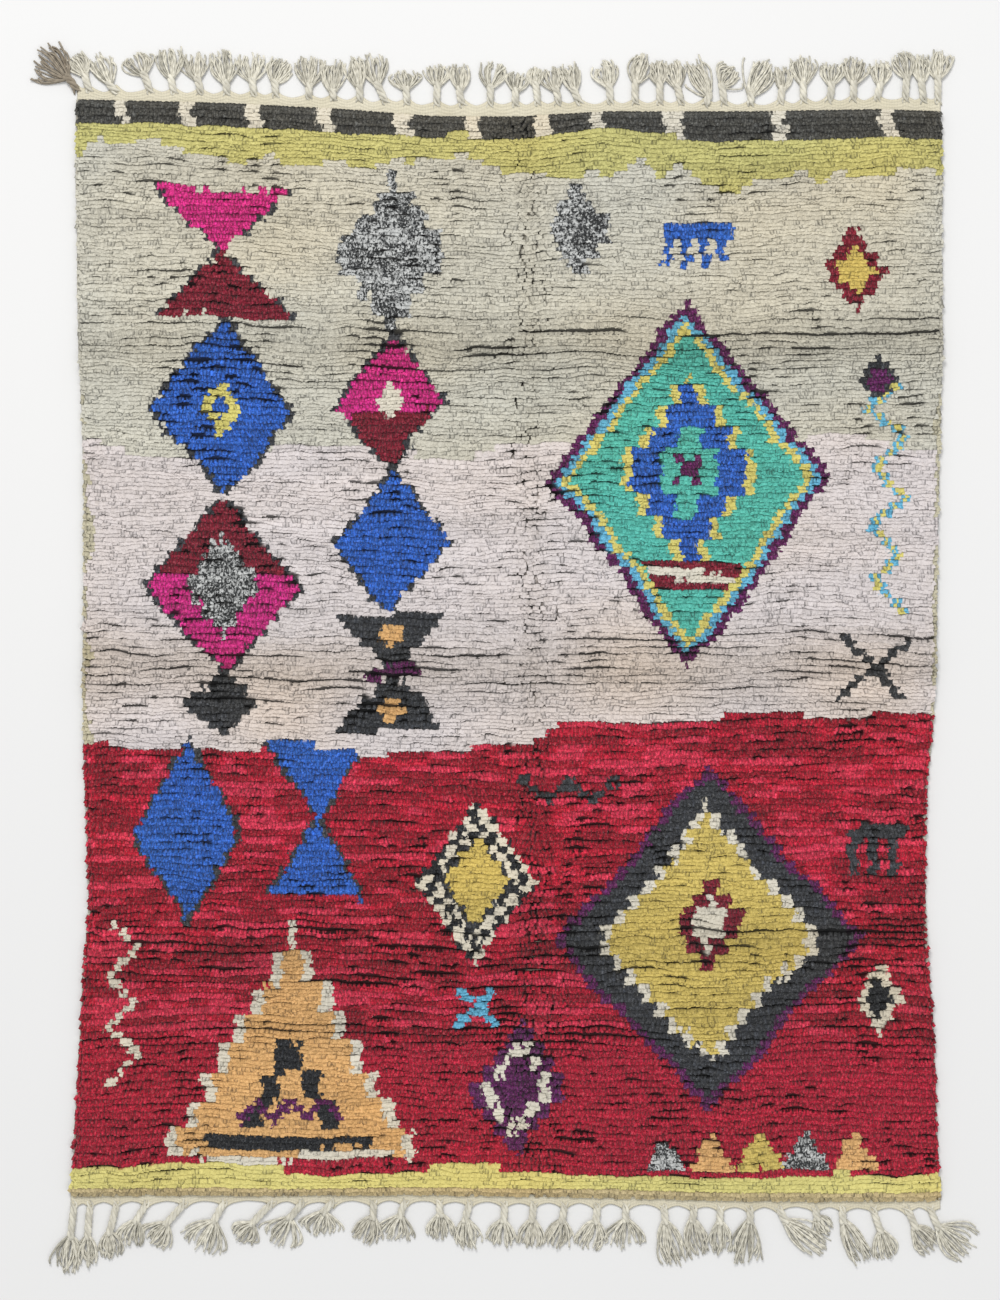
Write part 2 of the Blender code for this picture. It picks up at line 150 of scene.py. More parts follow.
# The two lines of tufts in a row: root and tip as shares of the row, their heights in millimetres,
# how lit the root is, then how far gaps draw back the root and the tip and sink the root and the tip
TUFT_LINES = (
    (1.02, 0.42, 12.7, 14.9, 0.6, 0.25, 0.0, 1.2, 0.0),
    (0.52, -0.04, 12.9, 14.8, 0.85, 0.0, 1.0, 0.0, 0.35),
)

# Lines of packed wool in a row: share of the row, height in millimetres, how lit it is, and how far
# the gaps below and above it reach it
BED_LINES = ((0.0, 13.0, 0.62, 1.0, 0.0), (0.2, 13.8, 0.8, 0.5, 0.0), (0.6, 13.2, 0.7, 0.0, 0.3))

# Gaps in the pile, and how much wider they are between dark rows than between pale ones
GAP_IN_DARK = 1.35
GAP_SPAN = 0.35
GAP_LIMIT = 4.6
CREASE_GAPS = 330

WOOL_ORDER = list(WOOLS)

# How much more of its green and blue light shaded wool loses than of its red; marl isn't shaded
SHADE_TINT = (1.0, 1.12, 1.35, 0.0)

# How the eye weighs red, green and blue, and where dark wool ends and how far pale wool is from it
EYE_WEIGHTS = np.array([0.2, 0.7, 0.1, 0.0])
DARK_WOOL = 0.15
PALE_SPAN = 0.22


def paleness(dyes):
    """1 for pale wool, 0 for dark wool."""
    return np.clip((dyes @ EYE_WEIGHTS - DARK_WOOL) / PALE_SPAN, 0.0, 1.0)


def linear(*colour):
    """A colour from 0 to 255 as the eye sees it, as the light values that a shader takes."""
    shares = np.array(colour) / 255.0
    light = np.where(shares <= 0.04045, shares / 12.92, ((shares + 0.055) / 1.055) ** 2.4)
    return tuple(float(value) for value in light)


def column(table, index):
    return np.array([row[index] for row in table], float) * MM


def side_x(y, index):
    return np.interp(y, column(SIDES, 0), column(SIDES, index))


def end_y(share, index):
    stations = column(ENDS, 0)
    shares = (stations - stations[0]) / (stations[-1] - stations[0])
    return np.interp(share, shares, column(ENDS, index))


def corners_x(pile_index):
    """Left and right end of a short edge."""
    edge_y = end_y(0.5, pile_index)
    return side_x(edge_y, 1), side_x(edge_y, 2)


def in_frame(x, y, z):
    """Points of the rug, moved from the tables' zero to the frame."""
    return np.stack(np.broadcast_arrays(x + SHIFT_X, y + SHIFT_Y, z), -1)


def bell(distance, half_width):
    return np.exp(-((distance / half_width) ** 2) * BELL_SHARPNESS)


def cross_lift(x, y):
    """How far the folds across the rug raise it, and how open its rows are there."""
    lift, opened = np.zeros_like(x), np.zeros_like(x)
    for left, middle, right, half_width, height, left_share in CROSS_FOLDS:
        centre = np.interp(x, FOLD_STATIONS, [left * MM, middle * MM, right * MM])
        centre = centre + FOLD_WANDER * np.sin(x * FOLD_WANDER_RATE + left)
        share = np.interp(x, FOLD_STATIONS, [left_share, 1.0, 1.0])
        near = bell(y - centre, half_width * MM)
        lift = lift + height * MM * near * share
        opened = np.maximum(opened, near * share * height / FULL_FOLD)
    return np.maximum(0.0, lift - LIFT_START), opened


def crease(x, y):
    """Signed distance from the crease along the rug, its nearness from 0 to 1, and its depth."""
    centre, half_width, depth = (
        np.interp(y, column(LONG_CREASE, 0), column(LONG_CREASE, index)) for index in (1, 2, 3))
    near = bell(x - centre, half_width)
    return x - centre, near, near * depth


def pile_point(share, along):
    """Plan position at shares across and along the pile, in the tables' own zero."""
    low, corner_low = end_y(share, 3), end_y(0.0, 3)
    y = low + (end_y(share, 1) - low) * along
    edge_y = corner_low + (end_y(0.0, 1) - corner_low) * along
    left = side_x(edge_y, 1)
    x = left + (side_x(edge_y, 2) - left) * share
    free = np.clip(np.minimum(ROW_WAVE_EASE * along, ROW_WAVE_EASE * (1.0 - along)), 0.0, 1.0)
    wander = sum(high * np.sin(x * rate_x + y * rate_y + start) for high, rate_x, rate_y, start in ROW_WAVES)
    return x, y + free * wander * MM


def drift(rng, rows, columns, step, row_blur=0):
    """Noise that changes smoothly along each row, over step columns, and is blurred over rows."""
    coarse = rng.standard_normal((rows, columns // step + 3))
    for _ in range(row_blur):
        coarse = (np.roll(coarse, 1, 0) + 2 * coarse + np.roll(coarse, -1, 0)) / 4
    at = np.arange(columns) / step + rng.random()
    low = at.astype(int)
    part = at - low
    part = part * part * (3 - 2 * part)
    fine = coarse[:, low] * (1 - part) + coarse[:, low + 1] * part
    return fine / fine.std()


class Chart:
    """The knotted design: which wool each knot has. Sizes are in millimetres."""

    EDGE = 9.0

    def __init__(self, x, y, rng):
        self.rng = rng
        self.rows, self.columns = x.shape
        self.ink = np.zeros(x.shape, int)
        wobble = 4.5 * np.sin(y / 47.0 + x / 210.0) + 2.5 * np.sin(y / 21.0 - x / 95.0)
        row_slip, knot_slip = 2.6 * rng.standard_normal((self.rows, 1)), 0.9 * rng.standard_normal(x.shape)
        self.x = x + wobble + row_slip + knot_slip
        self.y = y + 3.5 * np.sin(x / 61.0 + y / 300.0) + 0.8 * rng.standard_normal(x.shape)

    def drift(self, step, row_blur=0):
        return drift(self.rng, self.rows, self.columns, step, row_blur)

    def edge_drift(self, step):
        """Noise for a line that runs across the rug."""
        return drift(self.rng, 1, self.columns, step)

    def paint(self, mask, wool):
        self.ink[mask] = WOOL_ORDER.index(wool)

    def broken(self, share):
        """True for about that share of short stretches of each row."""
        return self.drift(4) < np.quantile(self.rng.standard_normal(4000), share)

    def halves(self, inside, y, upper, lower):
        self.paint(inside & (self.y >= y), upper)
        self.paint(inside & (self.y < y), lower)

    def box(self, x, y, half_width, half_height):
        return (np.abs(self.x - x) < half_width) & (np.abs(self.y - y) < half_height)

    def reach(self, x, y, half_width, half_height, step=0.0):
        """0 in a lozenge's middle and 1 on its outline, which can run in steps."""
        down = np.abs(self.y - y)
        if step:
            down = np.floor(down / step) * step
        return np.abs(self.x - x) / half_width + down / half_height

    def lozenge(self, x, y, half_width, half_height, *rings, step=0.0):
        reach = self.reach(x, y, half_width, half_height, step)
        for wool, share in rings:
            self.paint(reach < share, wool)

    def edged_lozenge(self, x, y, half_width, half_height, upper, lower, split=0.0):
        """A lozenge of two wools, one over the other, with a broken charcoal edge."""
        reach = self.reach(x, y, half_width, half_height)
        edge = (reach < 1.0 + self.EDGE / half_width) & (reach >= 0.99)
        self.paint(edge & self.broken(0.84), "charcoal")
        self.halves(reach < 1.0, y + split, upper, lower)

    def hourglass(self, x, y, half_width, half_height, upper, lower):
        sideways = np.abs(self.x - x) / half_width
        down = np.abs(self.y - y) / half_height
        near = (sideways < down + self.EDGE / half_width) & (down < 1.0)
        self.paint(near & self.broken(0.8), "charcoal")
        self.halves((sideways < down) & (down < 1.0), y, upper, lower)

    def zigzag(self, x, y, reach, length, swing, thick, wool, upright=True):
        along, off = (self.y - y, self.x - x) if upright else (self.x - x, self.y - y)
        turn = np.abs((along / length) % 2.0 - 1.0) * 2.0 - 1.0
        self.paint((np.abs(off - swing * turn) < thick) & (np.abs(along) < reach), wool)

    def cross(self, x, y, reach, thick, wool):
        right, up = self.x - x, self.y - y
        arms = np.minimum(np.abs(right - up), np.abs(right + up)) < thick * 1.4
        self.paint(self.box(x, y, reach, reach) & arms, wool)

    def comb(self, x, y, half_width, height, teeth, wool):
        right, up = self.x - x, self.y - y
        pitch = 2 * half_width / teeth
        tooth = ((right + half_width) % pitch < pitch * 0.5) & (np.abs(right) < half_width)
        bar = self.box(x, y, half_width, 13.0)
        self.paint(bar | (tooth & (up < 0) & (up > -height)), wool)

    def checks(self, x, y, half_width, half_height, square, first, second):
        inside = self.reach(x, y, half_width, half_height) < 1.0
        odd = (np.floor((self.x - x) / square) + np.floor((self.y - y) / (square * 1.1))) % 2 == 0
        self.paint(inside & odd, first)
        self.paint(inside & ~odd, second)

    def pyramid(self, x, base, half_width, height, step, *rings):
        """A stepped triangle that stands on a base line."""
        up = np.floor((self.y - base) / step) * step
        side = np.abs(self.x - x) / half_width
        for wool, share, lift in rings:
            inside = side + (up + (1 - share) * 30) / height < share
            self.paint((self.y > base + lift) & inside, wool)

    def teeth(self, x0, x1, base, height, pitch, *wools):
        at = (self.x - x0) / pitch
        number = np.floor(at).astype(int)
        rise = height * (1.0 - np.abs(at - number - 0.5) * 2.0)
        inside = (self.x > x0) & (self.x < x1) & (self.y > base) & (self.y < base + rise)
        for turn, wool in enumerate(wools):
            self.paint(inside & (number % len(wools) == turn), wool)


def ground(chart, x, y):
    """The pale field, its straw edges, the streaked red field and the calm one under it."""
    wander = chart.drift(22, 2) * 7.0
    chart.paint(y > -400.0, "cream")
    chart.paint(y < 395.0 + 14.0 * np.sin(x / 260.0) + wander * 1.6, "lilac")
    bound = 7.0 + 5.0 * chart.drift(3, 3)
    from_left, from_right = x - side_x(y * MM, 1) / MM, side_x(y * MM, 2) / MM - x
    chart.paint((y < 480.0) & ((from_left < bound) | (from_right < bound * 0.7)), "straw")
    red_line = np.interp(x, [-790, 30, 60, 110, 780], [-168, -166, -150, -114, -108]) + wander * 0.5
    chart.paint(y < red_line, "crimson")
    streak = chart.drift(9)
    chart.paint((y < red_line) & (streak > 0.55), "rose")
    chart.paint((y < red_line) & (streak < -0.35), "wine")
    chart.paint(y < -702.0 + 10.0 * np.sin(x / 190.0) + wander, "raspberry")


def bands(chart, x, y):
    """The ragged band and the dashed band at the top, and the band at the bottom."""
    share = (x - SIDES[-1][1]) / (SIDES[-1][2] - SIDES[-1][1])
    top, bottom = end_y(share, 1) / MM, end_y(share, 3) / MM
    drop = np.interp(x, [-800, -300, -90, 170, 450, 800], [43, 42, 35, 47, 52, 50])
    ragged = np.interp(
        x, [-800, -753, -600, -420, -300, -160, 60, 130, 240, 360, 470, 640, 730, 800],
        [45, 20, 40, 68, 64, 54, 75, 90, 68, 74, 60, 60, 75, 70])
    ragged = ragged + chart.edge_drift(5) * 9.0 + chart.edge_drift(26) * 10.0
    chart.paint(y > top - drop - ragged, "moss")
    chart.paint(y > top - drop, "ash")
    slant = (y - top + 25.0) * -0.12
    for centre, half in ((-717, 9), (-596, 13), (-464, 14), (-330, 13), (-190, 14), (-60, 12), (70, 14),
                         (168, 12), (305, 16), (497, 12), (702, 13)):
        chart.paint((np.abs(chart.x - centre - slant) < half) & (y > top - drop), "ivory")
    chart.paint(y < bottom + 44.0 + chart.edge_drift(18) * 3.0, "chartreuse")
    chart.paint(y < bottom + 9.0, "tan")


def pale_motifs(chart):
    chart.lozenge(335, 325, 262, 352, ("purple", 1.0), ("sky", 0.925), ("yellow", 0.87), ("turquoise", 0.815))
    chart.lozenge(335, 345, 120, 165, ("yellow", 1.0), ("royal", 0.86), ("turquoise", 0.42), step=40.0)
    chart.cross(335, 345, 26, 8, "purple")
    inside = chart.reach(335, 325, 262, 352) < 0.8
    chart.paint(inside & (np.abs(chart.y - 154) < 24), "burgundy")
    chart.paint(inside & (np.abs(chart.y - 154) < 8), "ivory")
    chart.hourglass(-525, 752, 122, 118, "magenta", "burgundy")
    chart.edged_lozenge(-525, 462, 132, 160, "royal", "royal")
    chart.lozenge(-525, 462, 40, 52, ("yellow", 1.0), ("royal", 0.45))
    chart.edged_lozenge(-525, 130, 142, 160, "burgundy", "magenta", split=20.0)
    chart.lozenge(-525, 130, 62, 84, ("grey_marl", 1.0), step=27.0)
    chart.edged_lozenge(-525, -88, 62, 54, "charcoal", "charcoal")
    chart.lozenge(-215, 742, 92, 132, ("grey_marl", 1.0), step=40.0)
    chart.edged_lozenge(-215, 470, 96, 124, "magenta", "burgundy", split=-18.0)
    chart.lozenge(-215, 470, 26, 34, ("ivory", 1.0))
    chart.edged_lozenge(-215, 214, 104, 128, "royal", "royal")
    chart.hourglass(-215, -24, 96, 106, "charcoal", "charcoal")
    chart.lozenge(-215, 46, 30, 22, ("peach", 1.0))
    chart.lozenge(-215, -92, 30, 22, ("peach", 1.0))
    chart.paint(chart.box(-215, -24, 46, 13), "purple")
    chart.lozenge(128, 788, 54, 76, ("grey_marl", 1.0), step=27.0)
    chart.comb(352, 792, 66, 58, 4, "royal")
    chart.lozenge(640, 724, 62, 76, ("burgundy", 1.0), ("gold", 0.62))
    chart.zigzag(704, 300, 215, 54, 30, 10, "sky")
    chart.zigzag(704, 300, 215, 54, 30, 4, "yellow")
    chart.lozenge(688, 520, 40, 46, ("charcoal", 1.0), ("purple", 0.62))
    chart.cross(680, -22, 62, 8, "charcoal")


def red_motifs(chart):
    chart.lozenge(372, -520, 286, 318, ("purple", 1.0), ("charcoal", 0.935))
    chart.lozenge(372, -520, 286, 318, ("ivory", 0.685), ("gold", 0.625), step=27.0)
    chart.lozenge(372, -505, 56, 70, ("burgundy", 1.0), ("ivory", 0.5), step=27.0)
    chart.edged_lozenge(-592, -322, 96, 162, "royal", "royal")
    chart.hourglass(-352, -300, 88, 142, "royal", "royal")
    chart.checks(-58, -412, 112, 150, 19.0, "black", "ivory")
    chart.lozenge(-58, -412, 66, 92, ("charcoal", 1.0), ("gold", 0.86))
    chart.pyramid(-402, -930, 226, 390, 54.0, ("ivory", 1.0, 0.0), ("peach", 0.92, 12.0),
                  ("black", 0.56, 60.0), ("peach", 0.42, 60.0))
    chart.zigzag(-402, -838, 96, 32, 16, 11, "purple", upright=False)
    chart.paint(chart.box(-402, -895, 150, 12), "black")
    chart.lozenge(20, -800, 82, 112, ("purple", 1.0), ("ivory", 0.72), ("purple", 0.5), step=27.0)
    chart.comb(690, -330, 54, 74, 3, "charcoal")
    chart.zigzag(-712, -640, 150, 50, 26, 8, "ivory")
    chart.cross(-60, -640, 40, 8, "sky")
    chart.zigzag(118, -236, 92, 40, 18, 9, "charcoal", upright=False)
    chart.teeth(250, 690, -946, 70, 88.0, "grey_marl", "peach", "gold")
    chart.lozenge(688, -640, 42, 64, ("ivory", 1.0), ("black", 0.6))


def knot_dyes(sizes, line=0):
    """The dye and marl of each knot, row by row, with noise of its own for each line of tufts."""
    along, share = np.meshgrid((np.arange(sizes.rows) + 0.35) / sizes.rows,
                               (np.arange(sizes.knots) + 0.5) / sizes.knots, indexing="ij")
    low = end_y(share, 3)
    x, y = pile_point(share, along)[0] / MM, (low + (end_y(share, 1) - low) * along) / MM
    chart = Chart(x, y, np.random.default_rng(7))
    ground(chart, x, y)
    pale_motifs(chart)
    red_motifs(chart)
    bands(chart, x, y)
    return dyed(chart.ink, np.random.default_rng(70), np.random.default_rng(71 + line))


def dyed(ink, rng, own_rng):
    """Each knot's wool, dyed unevenly along the rows and from knot to knot, and its share of marl."""
    rows, columns = ink.shape
    colour = np.array([linear(*WOOLS[name]) for name in WOOL_ORDER])[ink]
    tone = 1.0 + 0.035 * drift(rng, rows, columns, 30, 1) + 0.025 * own_rng.standard_normal(ink.shape)
    tone += 0.03 * rng.standard_normal((rows, 1))
    marl = (ink == WOOL_ORDER.index("grey_marl")).astype(float)
    spots = 0.8 * own_rng.standard_normal(ink.shape) + 0.5 * drift(rng, rows, columns, 6)
    tone = tone * np.clip(1.0 + marl * spots, 0.3, 2.6)
    warmth = 0.02 * np.maximum(drift(rng, rows, columns, 34, 40), -0.6)
    tint = np.stack([1.0 + warmth, np.ones_like(warmth), 1.0 - 1.6 * warmth], -1)
    dye = np.clip(colour * tone[..., None] * tint, 0.004, 0.95)
    return np.concatenate([dye, marl[..., None]], -1)


def deselect_all():
    for thing in bpy.context.selected_objects:
        thing.select_set(False)


def edit_only(thing):
    deselect_all()
    thing.select_set(True)
    bpy.context.view_layer.objects.active = thing


def mesh_object(name, points, faces, smooth=True):
    """A mesh object from arrays: faces is a list of arrays, one for each number of corners."""
    mesh = bpy.data.meshes.new(name)
    loops = np.concatenate([block.ravel() for block in faces]).astype(np.int32)
    sizes = np.concatenate([np.full(len(block), block.shape[1]) for block in faces])
    mesh.vertices.add(len(points))
    mesh.vertices.foreach_set("co", np.asarray(points, np.float32).ravel())
    mesh.loops.add(len(loops))
    mesh.loops.foreach_set("vertex_index", loops)
    mesh.polygons.add(len(sizes))
    mesh.polygons.foreach_set("loop_start", (np.cumsum(sizes) - sizes).astype(np.int32))
    mesh.update(calc_edges=True)
    mesh.polygons.foreach_set("use_smooth", np.full(len(sizes), smooth, bool))
    mesh.validate()
    thing = bpy.data.objects.new(name, mesh)
    bpy.context.scene.collection.objects.link(thing)
    return thing


def store_map(thing, name, places):
    layer = thing.data.uv_layers.new(name=name)
    layer.data.foreach_set("uv", np.asarray(places, np.float32).ravel())


def store_values(thing, name, numbers):
    layer = thing.data.attributes.new(name, "FLOAT", "POINT")
    layer.data.foreach_set("value", np.asarray(numbers, np.float32).ravel())


def store_dye(thing, dye, rise=None):
    """Stores a dye, with any painted shade mixed into it, and with it how high and how lit in the pile it is,
    on a piece's points.
    """
    full = np.ones((len(dye), 4), np.float32)
    full[:, :3] = dye[:, :3]
    layer = thing.data.color_attributes.new("dye", "FLOAT_COLOR", "POINT")
    layer.data.foreach_set("color", full.ravel())
    if rise is not None:
        store_values(thing, "rise", rise)
        store_values(thing, "marl", dye[:, 3])


def fit_out(thing, material):
    thing.data.materials.append(material)
    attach(thing, BODY)


def cloth_grid(name, columns, rows):
    """A flat grid of quads whose points are then set from their place across and along it."""
    deselect_all()
    bpy.ops.mesh.primitive_grid_add(x_subdivisions=columns, y_subdivisions=rows, size=2.0)
    thing = bpy.context.object
    thing.name = thing.data.name = name
    thing.data.shade_smooth()
    places = np.zeros(len(thing.data.vertices) * 3)
    thing.data.vertices.foreach_get("co", places)
    across, along, _ = (places.reshape(-1, 3).T + 1) / 2
    return thing, across, along


def lay_cloth(thing, across, along, points, columns=1.0, rows=1.0):
    """Sets a grid's points, a map in knots and rows for the weave, and one in the unit square."""
    thing.data.vertices.foreach_set("co", np.asarray(points, np.float32).ravel())
    thing.data.update()
    corners = np.zeros(len(thing.data.loops), int)
    thing.data.loops.foreach_get("vertex_index", corners)
    for old in list(thing.data.uv_layers):
        thing.data.uv_layers.remove(old)
    places = np.stack([across[corners], along[corners]], 1)
    store_map(thing, "OFBake", places)
    store_map(thing, "Cloth", places * [columns, rows])


def thicken(thing, thickness):
    """Makes a laid cloth solid, downwards from its face."""
    edit_only(thing)
    modifier = thing.modifiers.new("thickness", "SOLIDIFY")
    modifier.thickness, modifier.offset = thickness, -1.0
    bpy.ops.object.modifier_apply(modifier=modifier.name)
    thing.data.shade_smooth()


class Value:
    """A socket with Python's operators: each one adds its Math node."""

    def __init__(self, shader, socket):
        self.shader, self.socket = shader, socket

    def __add__(self, other):
        return self.shader.math("ADD", self, other)

    def __mul__(self, other):
        return self.shader.math("MULTIPLY", self, other)

    def __sub__(self, other):
        return self.shader.math("SUBTRACT", self, other)

    def __rsub__(self, other):
        return self.shader.math("SUBTRACT", other, self)

    __radd__ = __add__
    __rmul__ = __mul__

    def at_least(self, low):
        return self.shader.math("MAXIMUM", self, low)

    def sine(self):
        return self.shader.math("SINE", self)

    def humps(self):
        """A row of even humps, one for each half turn."""
        return self.shader.math("ABSOLUTE", self.sine())

    def between(self, low, high):
        """0 below low, 1 above high and smooth between them."""
        inputs = {"Value": self, "From Min": low, "From Max": high}
        return self.shader.node("ShaderNodeMapRange", {"interpolation_type": "SMOOTHSTEP"}, inputs)


class Shader:
    """A material whose nodes come from one method."""

    def __init__(self, name, roughness, sheen=0.0):
        self.material = bpy.data.materials.new(name)
        self.material.use_nodes = True
        self.tree = self.material.node_tree
        self.surface = self.tree.nodes["Principled BSDF"]
        constants = {"Roughness": roughness, "Specular IOR Level": 0.25, "Sheen Weight": sheen,
                     "Sheen Roughness": 0.6}
        for socket, value in constants.items():
            self.surface.inputs[socket].default_value = value

    def node(self, kind, settings, inputs, output=0):
        made = self.tree.nodes.new(kind)
        for name, value in settings.items():
            setattr(made, name, value)
        for name, value in inputs.items():
            socket = made.inputs[name]
            if isinstance(value, Value):
                self.tree.links.new(value.socket, socket)
            else:
                socket.default_value = (*value, 1.0) if socket.type == "RGBA" else value
        return Value(self, made.outputs[output])

    def math(self, operation, *values):
        return self.node("ShaderNodeMath", {"operation": operation}, dict(enumerate(values)))

    def feed(self, name, value):
        self.tree.links.new(value.socket, self.surface.inputs[name])

    def noise(self, scale, detail=2.0, roughness=0.5, stretch=(1.0, 1.0, 1.0)):
        spot = self.node("ShaderNodeTexCoord", {}, {}, "Object")
        place = self.node("ShaderNodeMapping", {}, {"Vector": spot, "Scale": stretch})
        inputs = {"Vector": place, "Scale": scale, "Detail": detail, "Roughness": roughness}
        return self.node("ShaderNodeTexNoise", {}, inputs, "Fac")

    def stored(self, name, output="Fac"):
        return self.node("ShaderNodeAttribute", {"attribute_name": name}, {}, output)

    def map_of(self, name):
        """Sideways and lengthways places on one of the piece's own maps."""
        places = self.node("ShaderNodeUVMap", {"uv_map": name}, {})
        return [self.node("ShaderNodeSeparateXYZ", {}, {0: places}, axis) for axis in "XY"]

    def mix(self, share, first, second):
        return self.node("ShaderNodeMix", {"data_type": "RGBA"}, {0: share, 6: first, 7: second}, 2)

    def toned(self, colour, tone):
        """The colour made lighter or darker by a factor."""
        return self.node("ShaderNodeVectorMath", {"operation": "SCALE"}, {0: colour, "Scale": tone})

    def bump(self, height, distance, strength):
        inputs = {"Height": height, "Distance": distance, "Strength": strength}
        self.feed("Normal", self.node("ShaderNodeBump", {}, inputs))


def pile_wool(name, fuzz):
    """Cut wool: short fibres in soft clumps, with painted shade where it is packed low between the rows and a
    painted sheen high on dark wool.
    """
    shader = Shader(name, 0.95, sheen=0.12)
    fibre = shader.noise(640.0, 2.0, 0.6, (1.0, 0.6, 0.8))
    clump = shader.noise(200.0, 2.0, 0.55, (1.0, 0.85, 1.0))
    cloud = shader.noise(22.0, stretch=(1.0, 2.2, 1.0))
    rise, dye = shader.stored("rise"), shader.stored("dye", "Color")
    light = shader.node("ShaderNodeRGBToBW", {}, {0: dye})
    depth = 1.0 - light
    speck = shader.noise(270.0, 1.0, 0.6, (1.0, 0.75, 1.0)) + 0.42 * light
    salt = shader.mix(speck.between(0.53, 0.62), (0.035, 0.038, 0.04), (0.45, 0.46, 0.455))
    dye = shader.mix(shader.stored("marl"), dye, salt)
    # Painted shade: wool is drawn darker toward its roots, low in the pile.
    root = 0.13 + 0.87 * rise.between(0.0, 0.55)
    grain = fibre.between(0.3, 0.7) + clump.between(0.34, 0.66) - 1.0
    # Painted shade: dark wool is drawn darker low on each tuft, which marks the rows.
    painted_row_shade = 1.0 - (1.3 * depth - 0.56).at_least(0.0) * (1.0 - rise.between(0.25, 1.0))
    tone = (0.94 + 0.2 * depth + grain * (1.15 * depth - 0.34) + 0.1 * cloud).at_least(0.12)
    # Painted sheen: pale grey mixed into dark wool on fibre peaks, high on the tufts.
    painted_sheen = fibre.between(0.4, 0.75) * clump.between(0.42, 0.7) * depth * rise
    dye = shader.toned(dye, tone * root * painted_row_shade)
    shader.feed("Base Color", shader.mix(painted_sheen * 0.24, dye, (0.55, 0.55, 0.54)))
    shader.bump(fibre * 0.5 + clump, 0.001, fuzz)
    return shader.material


def knot_back_wool():
    """The underside: two humps of dyed wool for each knot and shots of undyed weft between rows."""
    shader = Shader("knot backs", 0.95, sheen=0.1)
    across, along = shader.map_of("Cloth")
    hump, row = (across * (2.0 * math.pi)).humps(), (along * math.pi).humps()
    weft_share = 1.0 - row.between(0.42, 0.62)
    fibre = shader.noise(700.0, stretch=(1.0, 0.6, 1.0))
    grain = shader.noise(420.0, stretch=(0.25, 1.0, 1.0))
    muted = shader.mix(0.3, shader.stored("dye", "Color"), linear(176, 168, 150))
    weft = shader.mix(grain, linear(150, 141, 122), linear(206, 198, 180))
    # Painted shade: each knot's dye is darker between its two humps.
    knots = shader.toned(muted, (0.62 + 0.4 * hump) * (0.8 + 0.35 * fibre))
    shader.feed("Base Color", shader.mix(weft_share, knots, shader.toned(weft, 0.8 + 0.3 * fibre)))
    shader.bump(hump * row + 0.4 * weft_share * grain + 0.2 * fibre, 0.0016, 0.8)
    return shader.material


def weave_wool():
    """Flatwoven end: rounded weft lines packed over hidden warps, undyed and a little soiled."""
    shader = Shader("flatweave", 0.95, sheen=0.1)
    across, along = shader.map_of("Cloth")
    cross_rib, weft = (across * math.pi).humps(), (along * math.pi).humps()
    fibre = shader.noise(760.0)
    soil = shader.noise(14.0, 3.0, stretch=(1.0, 2.4, 1.0))
    clump = shader.noise(260.0, stretch=(0.5, 1.0, 1.0))
    colour = shader.mix(soil, linear(206, 198, 172), linear(232, 226, 206))
    # Painted shade between the weft lines and between the warp ribs, times the grain of clumps and fibres.
    shade = (0.76 + 0.08 * weft + 0.06 * cross_rib + 0.2 * clump) * (0.8 + 0.36 * fibre)
    shader.feed("Base Color", shader.toned(colour, shade))
    shader.bump(0.5 * weft + 0.35 * cross_rib + 0.5 * fibre + 0.8 * clump, 0.0012, 0.7)
    return shader.material


def yarn_wool(name, twist, plies):
    """Undyed twisted yarn: each strand has its own tone, with turns of ply that wind round it."""
    shader = Shader(name, 0.93, sheen=0.12)
    around, along = shader.map_of("Yarn")
    tone = shader.stored("tone")
    turn = ((around * plies + along * twist + tone * 9.0) * (2.0 * math.pi)).sine() * 0.5 + 0.5
    fibre, blotch = shader.noise(900.0), shader.noise(95.0)
    colour = shader.mix(tone, linear(160, 157, 144), linear(238, 234, 219))
    colour = shader.mix(shader.stored("soil"), colour, linear(112, 92, 68))
    # Painted shade in the grooves between the turns of ply, times the grain of fibres and blotches.
    shade = (0.84 + 0.18 * turn.between(0.0, 0.7)) * (0.76 + 0.25 * fibre + 0.22 * blotch)
    shader.feed("Base Color", shader.toned(colour, shade))
    shader.bump(turn + 0.4 * fibre, 0.0011, 0.7)
    return shader.material


def floor_paint():
    shader = Shader("studio floor", 0.9)
    mottle = shader.noise(1.3, 1.0)
    shader.feed("Base Color", shader.mix(mottle, (0.78, 0.783, 0.787), (0.8, 0.8, 0.8)))
    return shader.material


def count_of(name, description, default, low, high):
    return bpy.props.IntProperty(name=name, description=description, default=default, min=low, max=high)


def length_of(name, description, default):
    return bpy.props.FloatProperty(name=name, description=description, default=default, unit="LENGTH")


class RugSizes(bpy.types.PropertyGroup):
    rows: count_of("Rows", "Rows of knots along the rug", 148, 20, 200)
    knots: count_of("Knots", "Knots in a row", 245, 40, 300)
    pile_pieces: count_of("Pile pieces", "Meshes that share the pile", 5, 4, 10)
    tuft_half: length_of("Tuft half width", "From a tuft's middle to its side", 0.0047)
    tuft_thick: length_of("Tuft thickness", "From a tuft's middle to its ridge", 0.0011)
    ground_thick: length_of("Foundation", "Thickness of the knotted foundation", 0.0032)
    weave_thick: length_of("Flatweave", "Thickness of the flatwoven ends", 0.0034)
    selvedge: length_of("Selvedge", "Radius of the bound edge cord", 0.0034)
    stem: length_of("Stem", "Radius of each twisted strand of a tassel's stem", 0.0038)
    yarn: length_of("Yarn", "Radius of a loose yarn end", 0.0018)
    yarn_ends: count_of("Yarn ends", "Loose ends in a tassel", 24, 6, 40)


